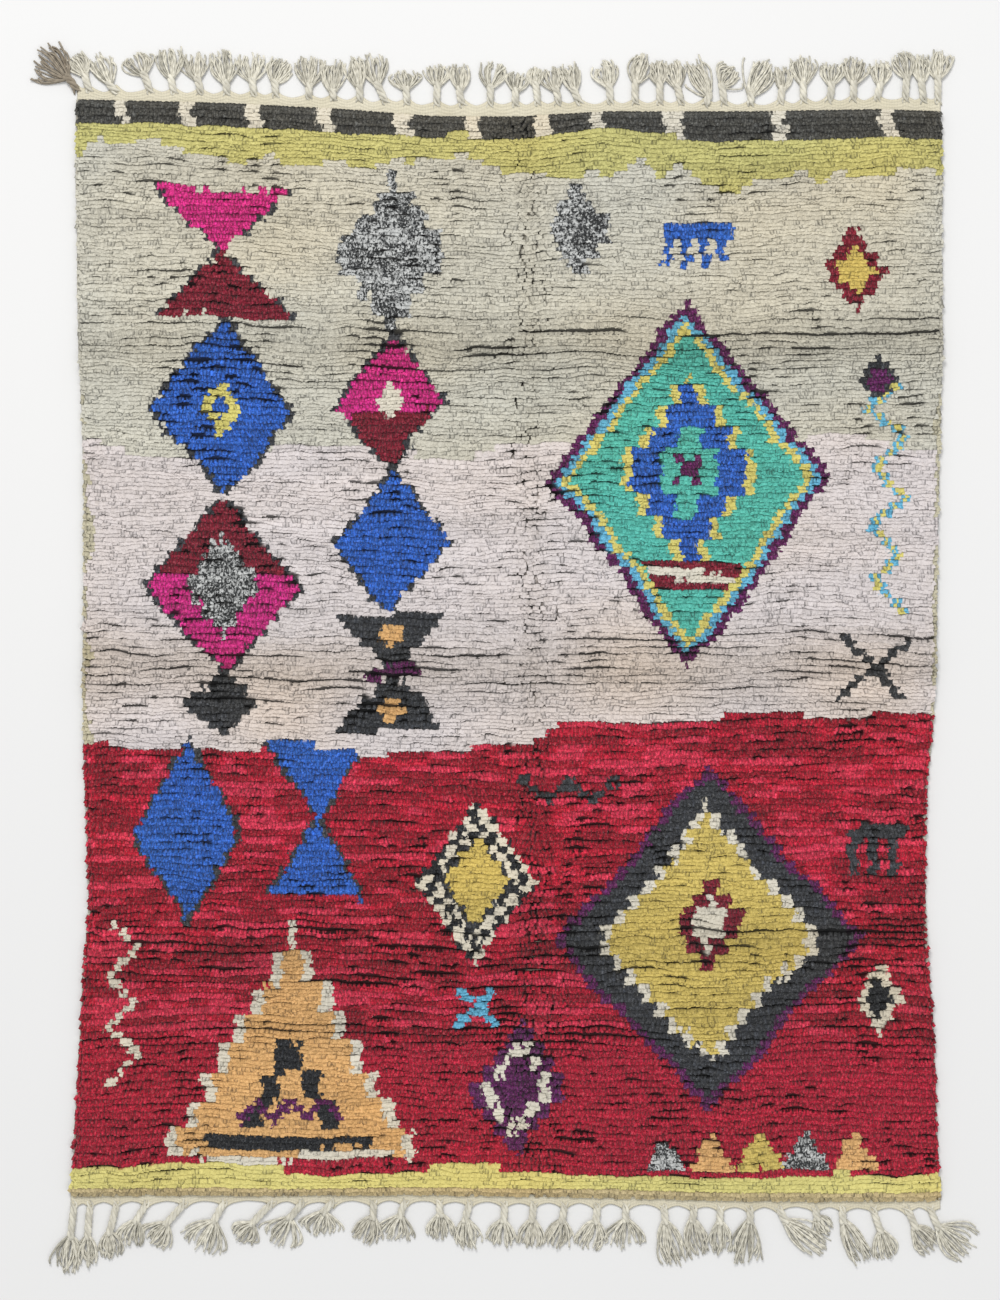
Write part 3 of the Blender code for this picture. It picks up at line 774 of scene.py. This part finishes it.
class Lie:
    """How the rows of pile sway, gape, swell and lean at each row's lower edge and each knot."""

    def __init__(self, sizes):
        rows, knots = sizes.rows + 1, sizes.knots + 1
        rng = np.random.default_rng(41)

        def noise(step, row_blur=0):
            return drift(rng, rows, knots, step, row_blur)

        along, share = np.meshgrid(
            np.arange(rows) / sizes.rows, np.arange(knots) / sizes.knots, indexing="ij")
        x, y = pile_point(share, along)
        _, opened = cross_lift(x, y)
        off, near, depth = crease(x, y)
        ease = np.clip(np.minimum(along, 1.0 - along) * sizes.rows / 3.0, 0.0, 1.0)
        sway = 1.1 * noise(4) + 1.1 * noise(9, 1) + 1.8 * noise(14, 6) + 2.4 * noise(34, 20)
        self.sway = sway * MM * ease
        patch = np.clip(0.9 + 0.55 * noise(18, 8), 0.15, 1.8)
        faint = np.clip(0.25 + 0.95 * noise(3), 0.0, 1.7) * patch
        long_gap = np.clip(0.45 + 1.1 * noise(15), 0.0, 2.2)
        row_gap = np.clip(0.9 + 0.6 * rng.standard_normal((rows, 1)), 0.0, 2.2)
        self.gape = np.minimum(1.5 * faint + 2.9 * opened * long_gap * row_gap, GAP_LIMIT) * MM * ease
        self.swell = 0.5 * noise(12, 2) * MM - depth * 0.7
        self.lean = 0.1 * noise(16, 3)
        strength = np.clip(0.5 + 0.45 * drift(rng, 1, rows, 6)[0], 0.1, 1.2)[:, None]
        self.parted = np.tanh(off / (14 * MM)) * near * strength
        self.gap, self.push = self.short_gaps(rng, x, y)
        # Painted shade: the dye is darkened over the folds, where the rows open, and a little along the
        # crease.
        self.shade = 1.0 - 0.2 * opened - 0.06 * near
        self.fray = noise(3)

    def short_gaps(self, rng, x, y):
        """Short dark gaps that run along the rug beside the crease, and how tufts lean off them."""
        gap, push = np.zeros_like(x), np.zeros_like(x)
        for _ in range(CREASE_GAPS):
            middle, half = rng.uniform(-0.99, 1.0), rng.uniform(0.006, 0.03)
            spread = 0.017 if rng.random() < 0.75 else 0.036
            centre = np.interp(middle, column(LONG_CREASE, 0), column(LONG_CREASE, 1))
            centre = centre + spread * rng.standard_normal()
            aside = x - centre - 0.25 * rng.standard_normal() * (y - middle)
            inside = np.clip(1.4 - np.abs(y - middle) / half, 0.0, 1.0)
            gap = np.maximum(gap, inside * np.exp(-((aside / (3.6 * MM)) ** 2)))
            push = push + inside * np.sign(aside) * np.exp(-((aside / (7.0 * MM)) ** 2))
        return gap, np.clip(push, -1.2, 1.2)

    def at(self, field, row, part):
        """A field between a row's lower edge (0) and its upper edge (1)."""
        return field[row] * (1 - part) + field[row + 1] * part


def tuft_shape():
    """One tuft of wool, upright and one unit tall: three-sided, with its ridge on +Y."""
    deselect_all()
    bpy.ops.mesh.primitive_cone_add(
        vertices=3, radius1=1.0, radius2=0.8, depth=1.0, location=(0, 0, 0.5), end_fill_type="NGON")
    cone = bpy.context.object
    bpy.ops.object.transform_apply(location=True)
    mesh = cone.data
    points = np.array([vert.co[:] for vert in mesh.vertices])
    faces = [list(face.vertices) for face in mesh.polygons if face.center.z > 0.1]
    bpy.data.objects.remove(cone, do_unlink=True)
    bpy.data.meshes.remove(mesh)
    quads, tris = (np.array([face for face in faces if len(face) == corners]) for corners in (4, 3))
    return points, quads, tris


def plant_tufts(sizes, lie):
    """Each tuft's start and end, widths, the rise of its root and its dye: two lines to a row."""
    rng = np.random.default_rng(43)
    pitch = (end_y(0.5, 1) - end_y(0.5, 3)) / sizes.rows
    row, knot = np.meshgrid(np.arange(sizes.rows), np.arange(sizes.knots), indexing="ij")
    here, above = (row, knot), (row + 1, knot)
    rows = np.arange(sizes.rows)

    def noise():
        return rng.standard_normal(row.shape)

    lines = []
    for line, numbers in enumerate(TUFT_LINES):
        root, tip, root_z, tip_z, root_rise, root_back, tip_back, root_sink, tip_sink = numbers
        dyes = knot_dyes(sizes, line)
        pale = paleness(dyes)
        uneven = 1.0 - 0.4 * pale
        over_end = (row == 0) * line
        up_end = (row == sizes.rows - 1) * (1 - line)
        share = knot + 0.3 + 0.4 * ((row + line) % 2) + (0.24 - 0.1 * pale) * noise()
        share = np.clip(share / sizes.knots, 0.0015, 0.9985)
        widened = GAP_IN_DARK - GAP_SPAN * pale
        gap_here, gap_above = lie.gape[here] * widened, lie.gape[above] * widened
        root = root - root_back * gap_above / pitch
        tip = tip + tip_back * gap_here / pitch
        tip = tip + 0.06 * uneven * noise() + 0.04 * lie.fray[here] - 0.2 * over_end
        x0, y0 = pile_point(share, np.clip((row + root) / sizes.rows, 0.0, 1.0))
        x1, y1 = pile_point(share, (row + tip) / sizes.rows)
        y0 = y0 + lie.at(lie.sway[:, :-1], rows, root)
        y1 = y1 + lie.at(lie.sway[:, :-1], rows, np.clip(tip, 0.0, 1.0))
        lean = lie.lean[here] + 0.2 * noise() + lie.parted[here] * (0.8 + 0.5 * noise())
        push = lie.push[here] * 2.1 * MM
        rim = np.clip(1.0 - np.minimum(share, 1.0 - share) * sizes.knots / 1.6, 0.0, 1.0)
        outward = np.sign(share - 0.5) * rim * 3.0 * MM
        base = cross_lift(x0, y0)[0] + lie.at(lie.swell[:, :-1], rows, 0.5) - rim * 4.5 * MM
        root_high = base + (root_z + 1.1 * over_end - 6.5 * up_end) * MM - root_sink * gap_above
        root_high = root_high - 0.6 * MM * uneven * rng.random(row.shape)
        tip_high = base + (tip_z - 7.5 * over_end) * MM - tip_sink * gap_here + 0.5 * MM * uneven * noise()
        half = sizes.tuft_half * (1.0 + 0.2 * pale + 0.12 * noise())
        thick = sizes.tuft_thick * (1.0 - 0.35 * pale + 0.1 * noise())
        # Painted shade from the folds and crease, times a random tone for each tuft, is mixed into the stored
        # dye.
        shade = lie.shade[here] * np.exp((0.12 - 0.1 * pale) * noise())
        start = in_frame(x0 + push, y0, root_high)
        end = in_frame(x1 + push + (y0 - y1) * lean + outward, y1, tip_high)
        # Painted shade: the roots of the first line, under the ends of the row above, start darker, more so
        # in dark wool.
        rise = root_rise - (0.33 - 0.18 * pale) * (1 - line)
        lines.append((start, end, half, thick, rise, dyes * shade[..., None] ** SHADE_TINT))
    return [np.concatenate(pair, axis=1) for pair in zip(*lines)]


def tufts(name, shape, start, end, half, thick, root_rise, dye):
    """A joined mesh of tufts, each one the modelled shape laid from its start to its end."""
    points, quads, tris = shape
    across, over, along = points.T
    count = len(start)
    run = end - start
    heading = run / np.linalg.norm(run, axis=1, keepdims=True)
    side = np.cross(heading, UP)
    side /= np.linalg.norm(side, axis=1, keepdims=True)
    place = start[:, None] + run[:, None] * along[:, None]
    place = place + side[:, None] * (across * half[:, None])[..., None]
    place = place + np.cross(side, heading)[:, None] * (over * thick[:, None])[..., None]
    number = np.arange(count)[:, None, None]
    faces = [(kind + number * len(points)).reshape(-1, kind.shape[1]) for kind in (quads, tris)]
    rounded = (paleness(dye) < 0.5) | (np.random.default_rng(count).random(count) < 0.2)
    smooth = np.concatenate([np.repeat(rounded, len(kind)) for kind in (quads, tris)])
    piece = mesh_object(name, place.reshape(-1, 3), faces, smooth)

    columns = math.ceil(math.sqrt(count / 2.0))
    lines = math.ceil(count / columns)
    cell = np.concatenate([number % columns, number // columns], -1)[:, :, None]
    square = np.array([[0.1, 0.1], [0.9, 0.1], [0.9, 0.9], [0.1, 0.9]])
    wedge = np.array([[0.1, 0.1], [0.9, 0.1], [0.5, 0.9]])
    parts = (np.stack([square + [side, 0] for side in range(len(quads))]), (wedge + [len(quads), 0])[None])
    store_map(piece, "OFBake", np.concatenate([
        ((cell + part / [4, 1]) / [columns, lines]).reshape(-1, 2) for part in parts]))
    rise = (root_rise[:, None] * (1 - along) + along).ravel()
    store_dye(piece, np.repeat(dye, len(points), axis=0), rise)
    return piece


def bed_lines(sizes, lie, dyes, low, high):
    """Points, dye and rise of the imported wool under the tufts' ends, over the rows from low to high."""
    knot = np.arange(sizes.knots + 1)
    rim = np.minimum(knot, sizes.knots - knot)
    points, dye, rise = [], [], []
    for row in range(low, high + 1):
        fill = min(row, sizes.rows - 1)
        inks = dyes[fill][np.minimum(knot, sizes.knots - 1)]
        for part, height, lit, low_share, high_share in BED_LINES if row < high else BED_LINES[:1]:
            at = part if row < sizes.rows else 1.0
            x, y = pile_point(knot / sizes.knots, np.full(len(knot), (row + part) / sizes.rows))
            y = y + lie.at(lie.sway, fill, at)
            lift, _ = cross_lift(x, y)
            gape = low_share * lie.gape[row] + high_share * lie.gape[fill + 1]
            gape = gape * (GAP_IN_DARK - GAP_SPAN * paleness(inks))
            gap = lie.at(lie.gap, fill, at)
            drop = np.minimum(gape * (0.8 if part else 2.2) + gap * 4.5 * MM, 8.5 * MM)
            z = lift + height * MM + lie.at(lie.swell, fill, at) - drop
            z = z - 5.5 * MM * (row == 0 and part == 0.2)
            z = np.where(rim == 1, z - 2.5 * MM, z)
            at_end = part == 0.0 and row in (0, sizes.rows)
            points.append(in_frame(x, y, np.where((rim == 0) | at_end, lift + 3.0 * MM, z)))
            # Painted shade: the bed's dye is darkened over the folds and crease and in the short gaps beside
            # the crease.
            tone = lie.shade[row] * (1.0 - 0.45 * gap)
            dye.append(inks * tone[:, None] ** SHADE_TINT)
            # Painted shade: the bed is drawn less lit where the rows gape and in the short gaps.
            rise.append(np.clip(lit - gape / (2.6 * MM) - gap * 0.6, 0.0, 1.0))
    return [np.concatenate(lines) for lines in (points, dye, rise)]


class RUG_OT_foundation(bpy.types.Operator):
    """Weaves the foundation that carries the knots, with their backs on its underside"""

    bl_idname = "rug.foundation"
    bl_label = "Foundation"

    def execute(self, context):
        sizes = context.scene.rug_sizes
        columns, rows = sizes.knots // 3, sizes.rows
        sheet, across, along = cloth_grid("foundation", columns, rows)
        x, y = pile_point(across, along)
        points = in_frame(x, y, cross_lift(x, y)[0] + sizes.ground_thick)
        lay_cloth(sheet, across, along, points, columns, rows)
        row = np.minimum(np.rint(along * rows), rows - 1).astype(int)
        knot = np.minimum(np.rint(across * sizes.knots), sizes.knots - 1).astype(int)
        store_dye(sheet, knot_dyes(sizes)[row, knot])
        thicken(sheet, sizes.ground_thick)
        fit_out(sheet, knot_back_wool())
        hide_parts("pile_body")
        return {"FINISHED"}


class RUG_OT_pile_bed(bpy.types.Operator):
    """Packs the wool of the rows into soft ribs, with gaps where the rows open"""

    bl_idname = "rug.pile_bed"
    bl_label = "Pile bed"

    def execute(self, context):
        sizes = context.scene.rug_sizes
        lie, dyes, material = Lie(sizes), knot_dyes(sizes), pile_wool("packed wool", 0.35)
        half = sizes.rows // 2
        for name, low, high in (("pile_bed_lower", 0, half), ("pile_bed_upper", half, sizes.rows)):
            bed, across, along = cloth_grid(name, sizes.knots, (high - low) * len(BED_LINES))
            points, dye, rise = bed_lines(sizes, lie, dyes, low, high)
            lay_cloth(bed, across, along, points)
            store_dye(bed, dye, rise)
            fit_out(bed, material)
        return {"FINISHED"}


class RUG_OT_pile(bpy.types.Operator):
    """Plants the tufts in two lines to a row, each lying over the one below it"""

    bl_idname = "rug.pile"
    bl_label = "Pile"

    def execute(self, context):
        sizes = context.scene.rug_sizes
        shape, material = tuft_shape(), pile_wool("pile wool", 0.45)
        planted = plant_tufts(sizes, Lie(sizes))
        cuts = np.linspace(0, sizes.rows, sizes.pile_pieces + 1).astype(int)
        for number, (low, high) in enumerate(zip(cuts, cuts[1:])):
            part = [values[low:high].reshape(-1, *values.shape[2:]) for values in planted]
            fit_out(tufts(f"pile_{number + 1}", shape, *part), material)
        return {"FINISHED"}


def tube_object(name, material, sides, paths, radii, tone, soil):
    """One mesh of round tubes along paths, each with its own tone and soil."""
    count, length, _ = paths.shape
    heading = np.gradient(paths, axis=1)
    heading /= np.linalg.norm(heading, axis=2, keepdims=True) + 1e-12
    side = np.cross(heading, UP)
    side /= np.linalg.norm(side, axis=2, keepdims=True) + 1e-12
    angle = np.arange(sides)[:, None] / sides * 2 * math.pi
    ring = side[:, :, None] * np.cos(angle) + np.cross(side, heading)[:, :, None] * np.sin(angle)
    body = paths[:, :, None] + ring * radii[:, :, None, None]
    points = np.concatenate([body.reshape(count, -1, 3), paths[:, :1], paths[:, -1:]], 1)

    spin = np.arange(sides)
    step, place = (part.ravel() for part in np.meshgrid(np.arange(length - 1), spin, indexing="ij"))
    quad_place = np.stack([place, place + 1, place + 1, place], 1)
    quads = np.stack([step, step, step + 1, step + 1], 1) * sides + quad_place % sides
    tris, tri_place = [], []
    for step, first, second in ((0, spin + 1, spin), (length - 1, spin, spin + 1)):
        centre = np.full(sides, length * sides + (step > 0))
        tris.append(np.stack([step * sides + first % sides, step * sides + second % sides, centre], 1))
        tri_place.append(np.stack([first, second, spin + 0.5], 1))

    point_step = np.append(np.repeat(np.arange(length), sides), [0, length - 1])
    inside = 0.05 + 0.9 * point_step / (length - 1)
    inside[-2:] += [-0.04, 0.04]
    travelled = np.linalg.norm(np.diff(paths, axis=1), axis=2).cumsum(1)
    travelled = np.concatenate([np.zeros((count, 1)), travelled], 1)
    number = np.arange(count)[:, None, None]
    columns = math.ceil(math.sqrt(count * 0.25))
    lines = math.ceil(count / columns)
    faces, yarn, bake = [], [], []
    for corners, places in ((quads, quad_place), (np.concatenate(tris), np.concatenate(tri_place))):
        faces.append((corners + number * points.shape[1]).reshape(-1, corners.shape[1]))
        around = np.broadcast_to(places / sides, (count, *places.shape))
        yarn.append(np.stack([around, travelled[:, point_step[corners]]], -1).reshape(-1, 2))
        bake.append(np.stack([(number // lines + 0.05 + 0.9 * around) / columns,
                              (number % lines + inside[corners]) / lines], -1).reshape(-1, 2))
    thing = mesh_object(name, points.reshape(-1, 3), faces)
    store_map(thing, "OFBake", np.concatenate(bake))
    store_map(thing, "Yarn", np.concatenate(yarn))
    store_values(thing, "tone", np.repeat(tone, points.shape[1]))
    store_values(thing, "soil", np.repeat(soil, points.shape[1]))
    fit_out(thing, material)
    return thing


class RUG_OT_selvedges(bpy.types.Operator):
    """Binds the two long edges with a wrapped cord"""

    bl_idname = "rug.selvedges"
    bl_label = "Selvedges"

    def execute(self, context):
        sizes = context.scene.rug_sizes
        rng = np.random.default_rng(19)
        steps = sizes.rows * 4 + 1
        material = yarn_wool("selvedge wool", 260.0, 1.0)
        for name, share, outward in (("selvedge_left", 0.0, -1.0), ("selvedge_right", 1.0, 1.0)):
            x, y = pile_point(np.full(steps, share), np.linspace(0.0, 1.0, steps))
            lift, _ = cross_lift(x, y)
            wobble = 0.7 * MM * drift(rng, 1, steps, 18)[0]
            knobs = 1.0 + 0.1 * np.sin(np.arange(steps) * math.pi / 2.0) + 0.05 * rng.standard_normal(steps)
            radii = sizes.selvedge * knobs
            path = in_frame(x - outward * 1.6 * MM + wobble, y, lift + radii)
            tube_object(name, material, 8, path[None], radii[None], [0.5], [0.2])
        return {"FINISHED"}


class RUG_OT_end_weave(bpy.types.Operator):
    """Weaves the flat strip at each end, with its lines of weft standing proud"""

    bl_idname = "rug.end_weave"
    bl_label = "Flatwoven ends"

    WEFT_LINES = 5.0
    WARPS = 320.0

    def execute(self, context):
        sizes = context.scene.rug_sizes
        material = weave_wool()
        rng = np.random.default_rng(23)
        for name, tassels, pile_index, weave_index, outward in RUG_ENDS:
            strip, across, along = cloth_grid(f"weave_{name}", 400, 15)
            left, right = corners_x(pile_index)
            x = left + (right - left) * across
            inner = end_y(across, pile_index) - outward * 7.0 * MM
            ripple = 0.9 * MM * np.interp(across, np.linspace(0, 1, 90), rng.standard_normal(90))
            outer = end_y(across, weave_index) + outward * (ripple + self.webs(x, tassels))
            rib = np.abs(np.sin(along * math.pi * self.WEFT_LINES)) * 0.3 * MM
            bumpy = 0.3 * MM * np.sin(across * 1100.0 + 2.0 * np.sin(along * 9.0))
            top = sizes.weave_thick - 0.6 * MM + rib + bumpy * (along > 0.1)
            if outward < 0:
                edit_only(strip)
                bpy.ops.object.mode_set(mode="EDIT")
                bpy.ops.mesh.select_all(action="SELECT")
                bpy.ops.mesh.flip_normals()
                bpy.ops.object.mode_set(mode="OBJECT")
            points = in_frame(x, inner + (outer - inner) * along, top)
            lay_cloth(strip, across, along, points, self.WARPS, self.WEFT_LINES)
            thicken(strip, sizes.weave_thick - 0.9 * MM)
            fit_out(strip, material)
        return {"FINISHED"}

    def webs(self, x, tassels):
        """How far the strip is drawn out where warp ends leave it for the tassels."""
        pulled = np.zeros_like(x)
        for root, aside, *_ in tassels:
            off = x - (root + 0.12 * aside) * MM
            pulled = np.maximum(pulled, 16.0 * MM * np.exp(-np.abs(off) / (12.0 * MM)))
        return pulled - 3.0 * MM


def arc(points, steps):
    """A smooth line through three points: start, middle and end."""
    t = np.linspace(0.0, 1.0, steps)[:, None]
    start, middle, end = points
    pull = 2.0 * middle - 0.5 * (start + end)
    return (1 - t) ** 2 * start + 2 * t * (1 - t) * pull + t ** 2 * end


class RUG_OT_tassels(bpy.types.Operator):
    """Twists the warp ends into stems and spreads their loose yarn"""

    bl_idname = "rug.tassels"
    bl_label = "Tassels"

    def execute(self, context):
        sizes = context.scene.rug_sizes
        stem_wool = yarn_wool("twisted warp", 34.0, 2.0)
        loose_wool = yarn_wool("loose warp yarn", 70.0, 1.0)
        for name, tassels, pile_index, weave_index, outward in RUG_ENDS:
            rng = np.random.default_rng(61 + weave_index)
            stems, yarns = [], []
            left, right = corners_x(pile_index)
            for number, (root, aside, out, turn, length, fan, full) in enumerate(tassels):
                edge = end_y((root * MM - left) / (right - left), weave_index)
                foot = in_frame(root * MM, edge - outward * 5 * MM, 0.0)[:2]
                knee = in_frame((root + aside) * MM, edge + outward * out * MM, 0.0)[:2]
                brown = 0.7 if name == "top" and number == 0 else 0.1 * rng.random() ** 2
                stems.append(self.stem(sizes, rng, foot, knee, brown))
                turns = math.atan2(aside, out), math.radians(turn)
                yarns.append(self.loose(sizes, rng, knee, outward, turns, length, fan, full, brown))
            stems, yarns = ([np.concatenate(part) for part in zip(*made)] for made in (stems, yarns))
            stem_piece = tube_object(f"stems_{name}", stem_wool, 7, *stems)
            tube_object(f"tassels_{name}", loose_wool, 4, *yarns)
            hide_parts(f"fringe_{name}")
        return {"FINISHED"}

    def stem(self, sizes, rng, foot, knee, brown):
        """Strands laid round each other from the weave's edge to the tuft, spread at the foot."""
        steps, strands, radius = 15, 3, sizes.stem
        t = np.linspace(0.0, 1.0, steps)
        line = arc([foot, (knee + foot) * 0.5 + rng.standard_normal(2) * 1.2 * MM, knee], steps)
        heading = np.gradient(line, axis=0)
        heading /= np.linalg.norm(heading, axis=1, keepdims=True)
        side = np.stack([heading[:, 1], -heading[:, 0]], 1)
        turns = np.linalg.norm(knee - foot) / (34 * MM)
        rooted = np.clip(1.0 - t * 2.8, 0.0, 1.0)
        spread = radius * (0.95 + 1.1 * rooted ** 2)
        start = rng.random() * 2.0
        paths, radii = [], []
        for strand in range(strands):
            phase = 2 * math.pi * (strand / strands + t * turns + start)
            plan = line + side * (spread * np.cos(phase))[:, None]
            thick = radius * (1.0 - 0.66 * rooted) * (1.0 + 0.05 * rng.standard_normal(steps))
            height = np.maximum(radius * (1.6 + 0.58 * np.sin(phase)) * (1.0 - 0.72 * rooted), thick)
            paths.append(np.column_stack([plan, height]))
            radii.append(thick)
        return np.array(paths), np.array(radii), 0.55 + 0.3 * rng.random(strands), np.full(strands, brown)

    def loose(self, sizes, rng, knee, outward, turns, length, fan, full, brown):
        """Yarn ends that leave the stem side by side and spread into the tuft."""
        count, steps, layers = sizes.yarn_ends, 8, 3
        t = np.linspace(0.0, 1.0, steps)
        stem_turn, tuft_turn = turns
        way, across = self.way(tuft_turn, outward)
        knee_across = self.way((stem_turn + tuft_turn) / 2, outward)[1]
        neck = knee - self.way(stem_turn, outward)[0] * 7 * MM
        half = (17.0 * full + 5.0) * MM
        paths, radii = [], []
        for end in range(count):
            place = (end + 0.5) / count * 2.0 - 1.0 + 0.07 * rng.standard_normal()
            layer = (end * 2 + int(rng.integers(2))) % layers
            spread = math.radians(fan) * 0.55 * place + math.radians(8.0) * rng.standard_normal()
            reach = length * MM * (1.06 - 0.2 * place * place - 0.3 * rng.random())
            heading = way * math.cos(spread) + across * math.sin(spread)
            swell = across * place * half
            middle = knee + heading * reach * 0.5 + swell
            tip = knee + heading * reach + swell * (0.82 - 0.2 * rng.random())
            plan = arc([neck + knee_across * place * 4.5 * MM, middle, tip], steps)
            curl = np.sin(t * math.pi * (1.4 + rng.random()) + rng.random() * 6.0) * 2.4 * MM * t
            plan = plan + across * curl[:, None]
            radius = sizes.yarn * (1.0 + 0.1 * rng.standard_normal())
            high = radius * (1.0 + 1.25 * layer) * (1.0 - 0.35 * abs(place)) + (1.0 - t) ** 2 * 2.4 * MM
            paths.append(np.column_stack([plan, np.maximum(high, radius)]))
            radii.append(radius * (1.0 - 0.1 * t))
        tone = np.where(rng.random(count) < 0.16, 0.15, 0.55) + 0.4 * rng.random(count)
        return np.array(paths), np.array(radii), tone, np.full(count, brown)

    def way(self, turn, outward):
        """Directions along and across a tuft that is turned to the right."""
        sine, cosine = math.sin(turn), math.cos(turn)
        return np.array([sine, outward * cosine]), np.array([cosine, -outward * sine])


class RUG_OT_soft_facts(bpy.types.Operator):
    """Does nothing and finishes at once"""

    bl_idname = "rug.soft_facts"
    bl_label = "Cloth facts"

    def execute(self, context):
        return {"FINISHED"}


class RUG_OT_stage(bpy.types.Operator):
    """Sets the pale floor, the soft lights and the camera straight above"""

    bl_idname = "rug.stage"
    bl_label = "Stage"

    PHOTO = (1000, 1300)
    RUG_MIDDLE = (507.4, 658.4)
    PIXEL = 1.848 * MM
    LENS = 90.0
    SENSOR = 36.0

    def execute(self, context):
        deselect_all()
        bpy.ops.mesh.primitive_plane_add(size=160.0, location=(0, 0, -0.5 * MM))
        floor = bpy.context.object
        floor.name = "floor"
        bpy.ops.object.transform_apply(location=True)
        floor.data.materials.append(floor_paint())

        self.light("key", (-1.4, 5.6, 7.4), 3.4, 470.0, (1.0, 0.985, 0.96))
        self.light("fill", (4.0, -3.6, 8.6), 5.0, 130.0, (0.96, 0.98, 1.0))
        world = bpy.data.worlds.new("soft room")
        world.use_nodes = True
        background = world.node_tree.nodes["Background"].inputs
        background["Color"].default_value = (1.0, 1.0, 1.0, 1.0)
        background["Strength"].default_value = 0.62
        context.scene.world = world

        x = (self.PHOTO[0] / 2 - self.RUG_MIDDLE[0]) * self.PIXEL + SHIFT_X
        y = (self.RUG_MIDDLE[1] - self.PHOTO[1] / 2) * self.PIXEL + SHIFT_Y
        distance = self.PHOTO[1] * self.PIXEL * self.LENS / self.SENSOR
        bpy.ops.object.camera_add(location=(x, y, distance + 0.014), rotation=(0.0, 0.0, 0.0))
        camera = bpy.context.object
        camera.name = "camera"
        camera.data.lens, camera.data.sensor_width, camera.data.clip_end = self.LENS, self.SENSOR, 100.0
        context.scene.camera = camera
        context.scene.view_settings.view_transform = "Standard"
        return {"FINISHED"}

    def light(self, name, place, size, power, colour):
        bpy.ops.object.light_add(type="AREA", location=place)
        lamp = bpy.context.object
        lamp.name = name
        for setting, value in (("shape", "SQUARE"), ("size", size), ("energy", power), ("color", colour)):
            setattr(lamp.data, setting, value)
        lamp.rotation_euler = (-Vector(place)).to_track_quat("-Z", "Y").to_euler()


class RUG_PT_panel(bpy.types.Panel):
    bl_label = "Knotted rug"
    bl_idname = "RUG_PT_panel"
    bl_space_type = "VIEW_3D"
    bl_region_type = "UI"
    bl_category = "Rug"

    def draw(self, context):
        sizes = context.scene.rug_sizes
        for name in sizes.__annotations__:
            self.layout.prop(sizes, name)
        for operator in OPERATORS:
            self.layout.operator(operator.bl_idname)


OPERATORS = (RUG_OT_foundation, RUG_OT_pile_bed, RUG_OT_pile, RUG_OT_selvedges, RUG_OT_end_weave,
             RUG_OT_tassels, RUG_OT_soft_facts, RUG_OT_stage)
CLASSES = (RugSizes, *OPERATORS, RUG_PT_panel)


def register():
    for item in CLASSES:
        bpy.utils.register_class(item)
    bpy.types.Scene.rug_sizes = bpy.props.PointerProperty(type=RugSizes)


def unregister():
    del bpy.types.Scene.rug_sizes
    for item in reversed(CLASSES):
        bpy.utils.unregister_class(item)


def main():
    register()
    bpy.ops.rug.foundation()
    bpy.ops.rug.pile_bed()
    bpy.ops.rug.pile()
    bpy.ops.rug.selvedges()
    bpy.ops.rug.end_weave()
    bpy.ops.rug.tassels()
    bpy.ops.rug.soft_facts()
    bpy.ops.rug.stage()


if __name__ == "__main__":
    main()
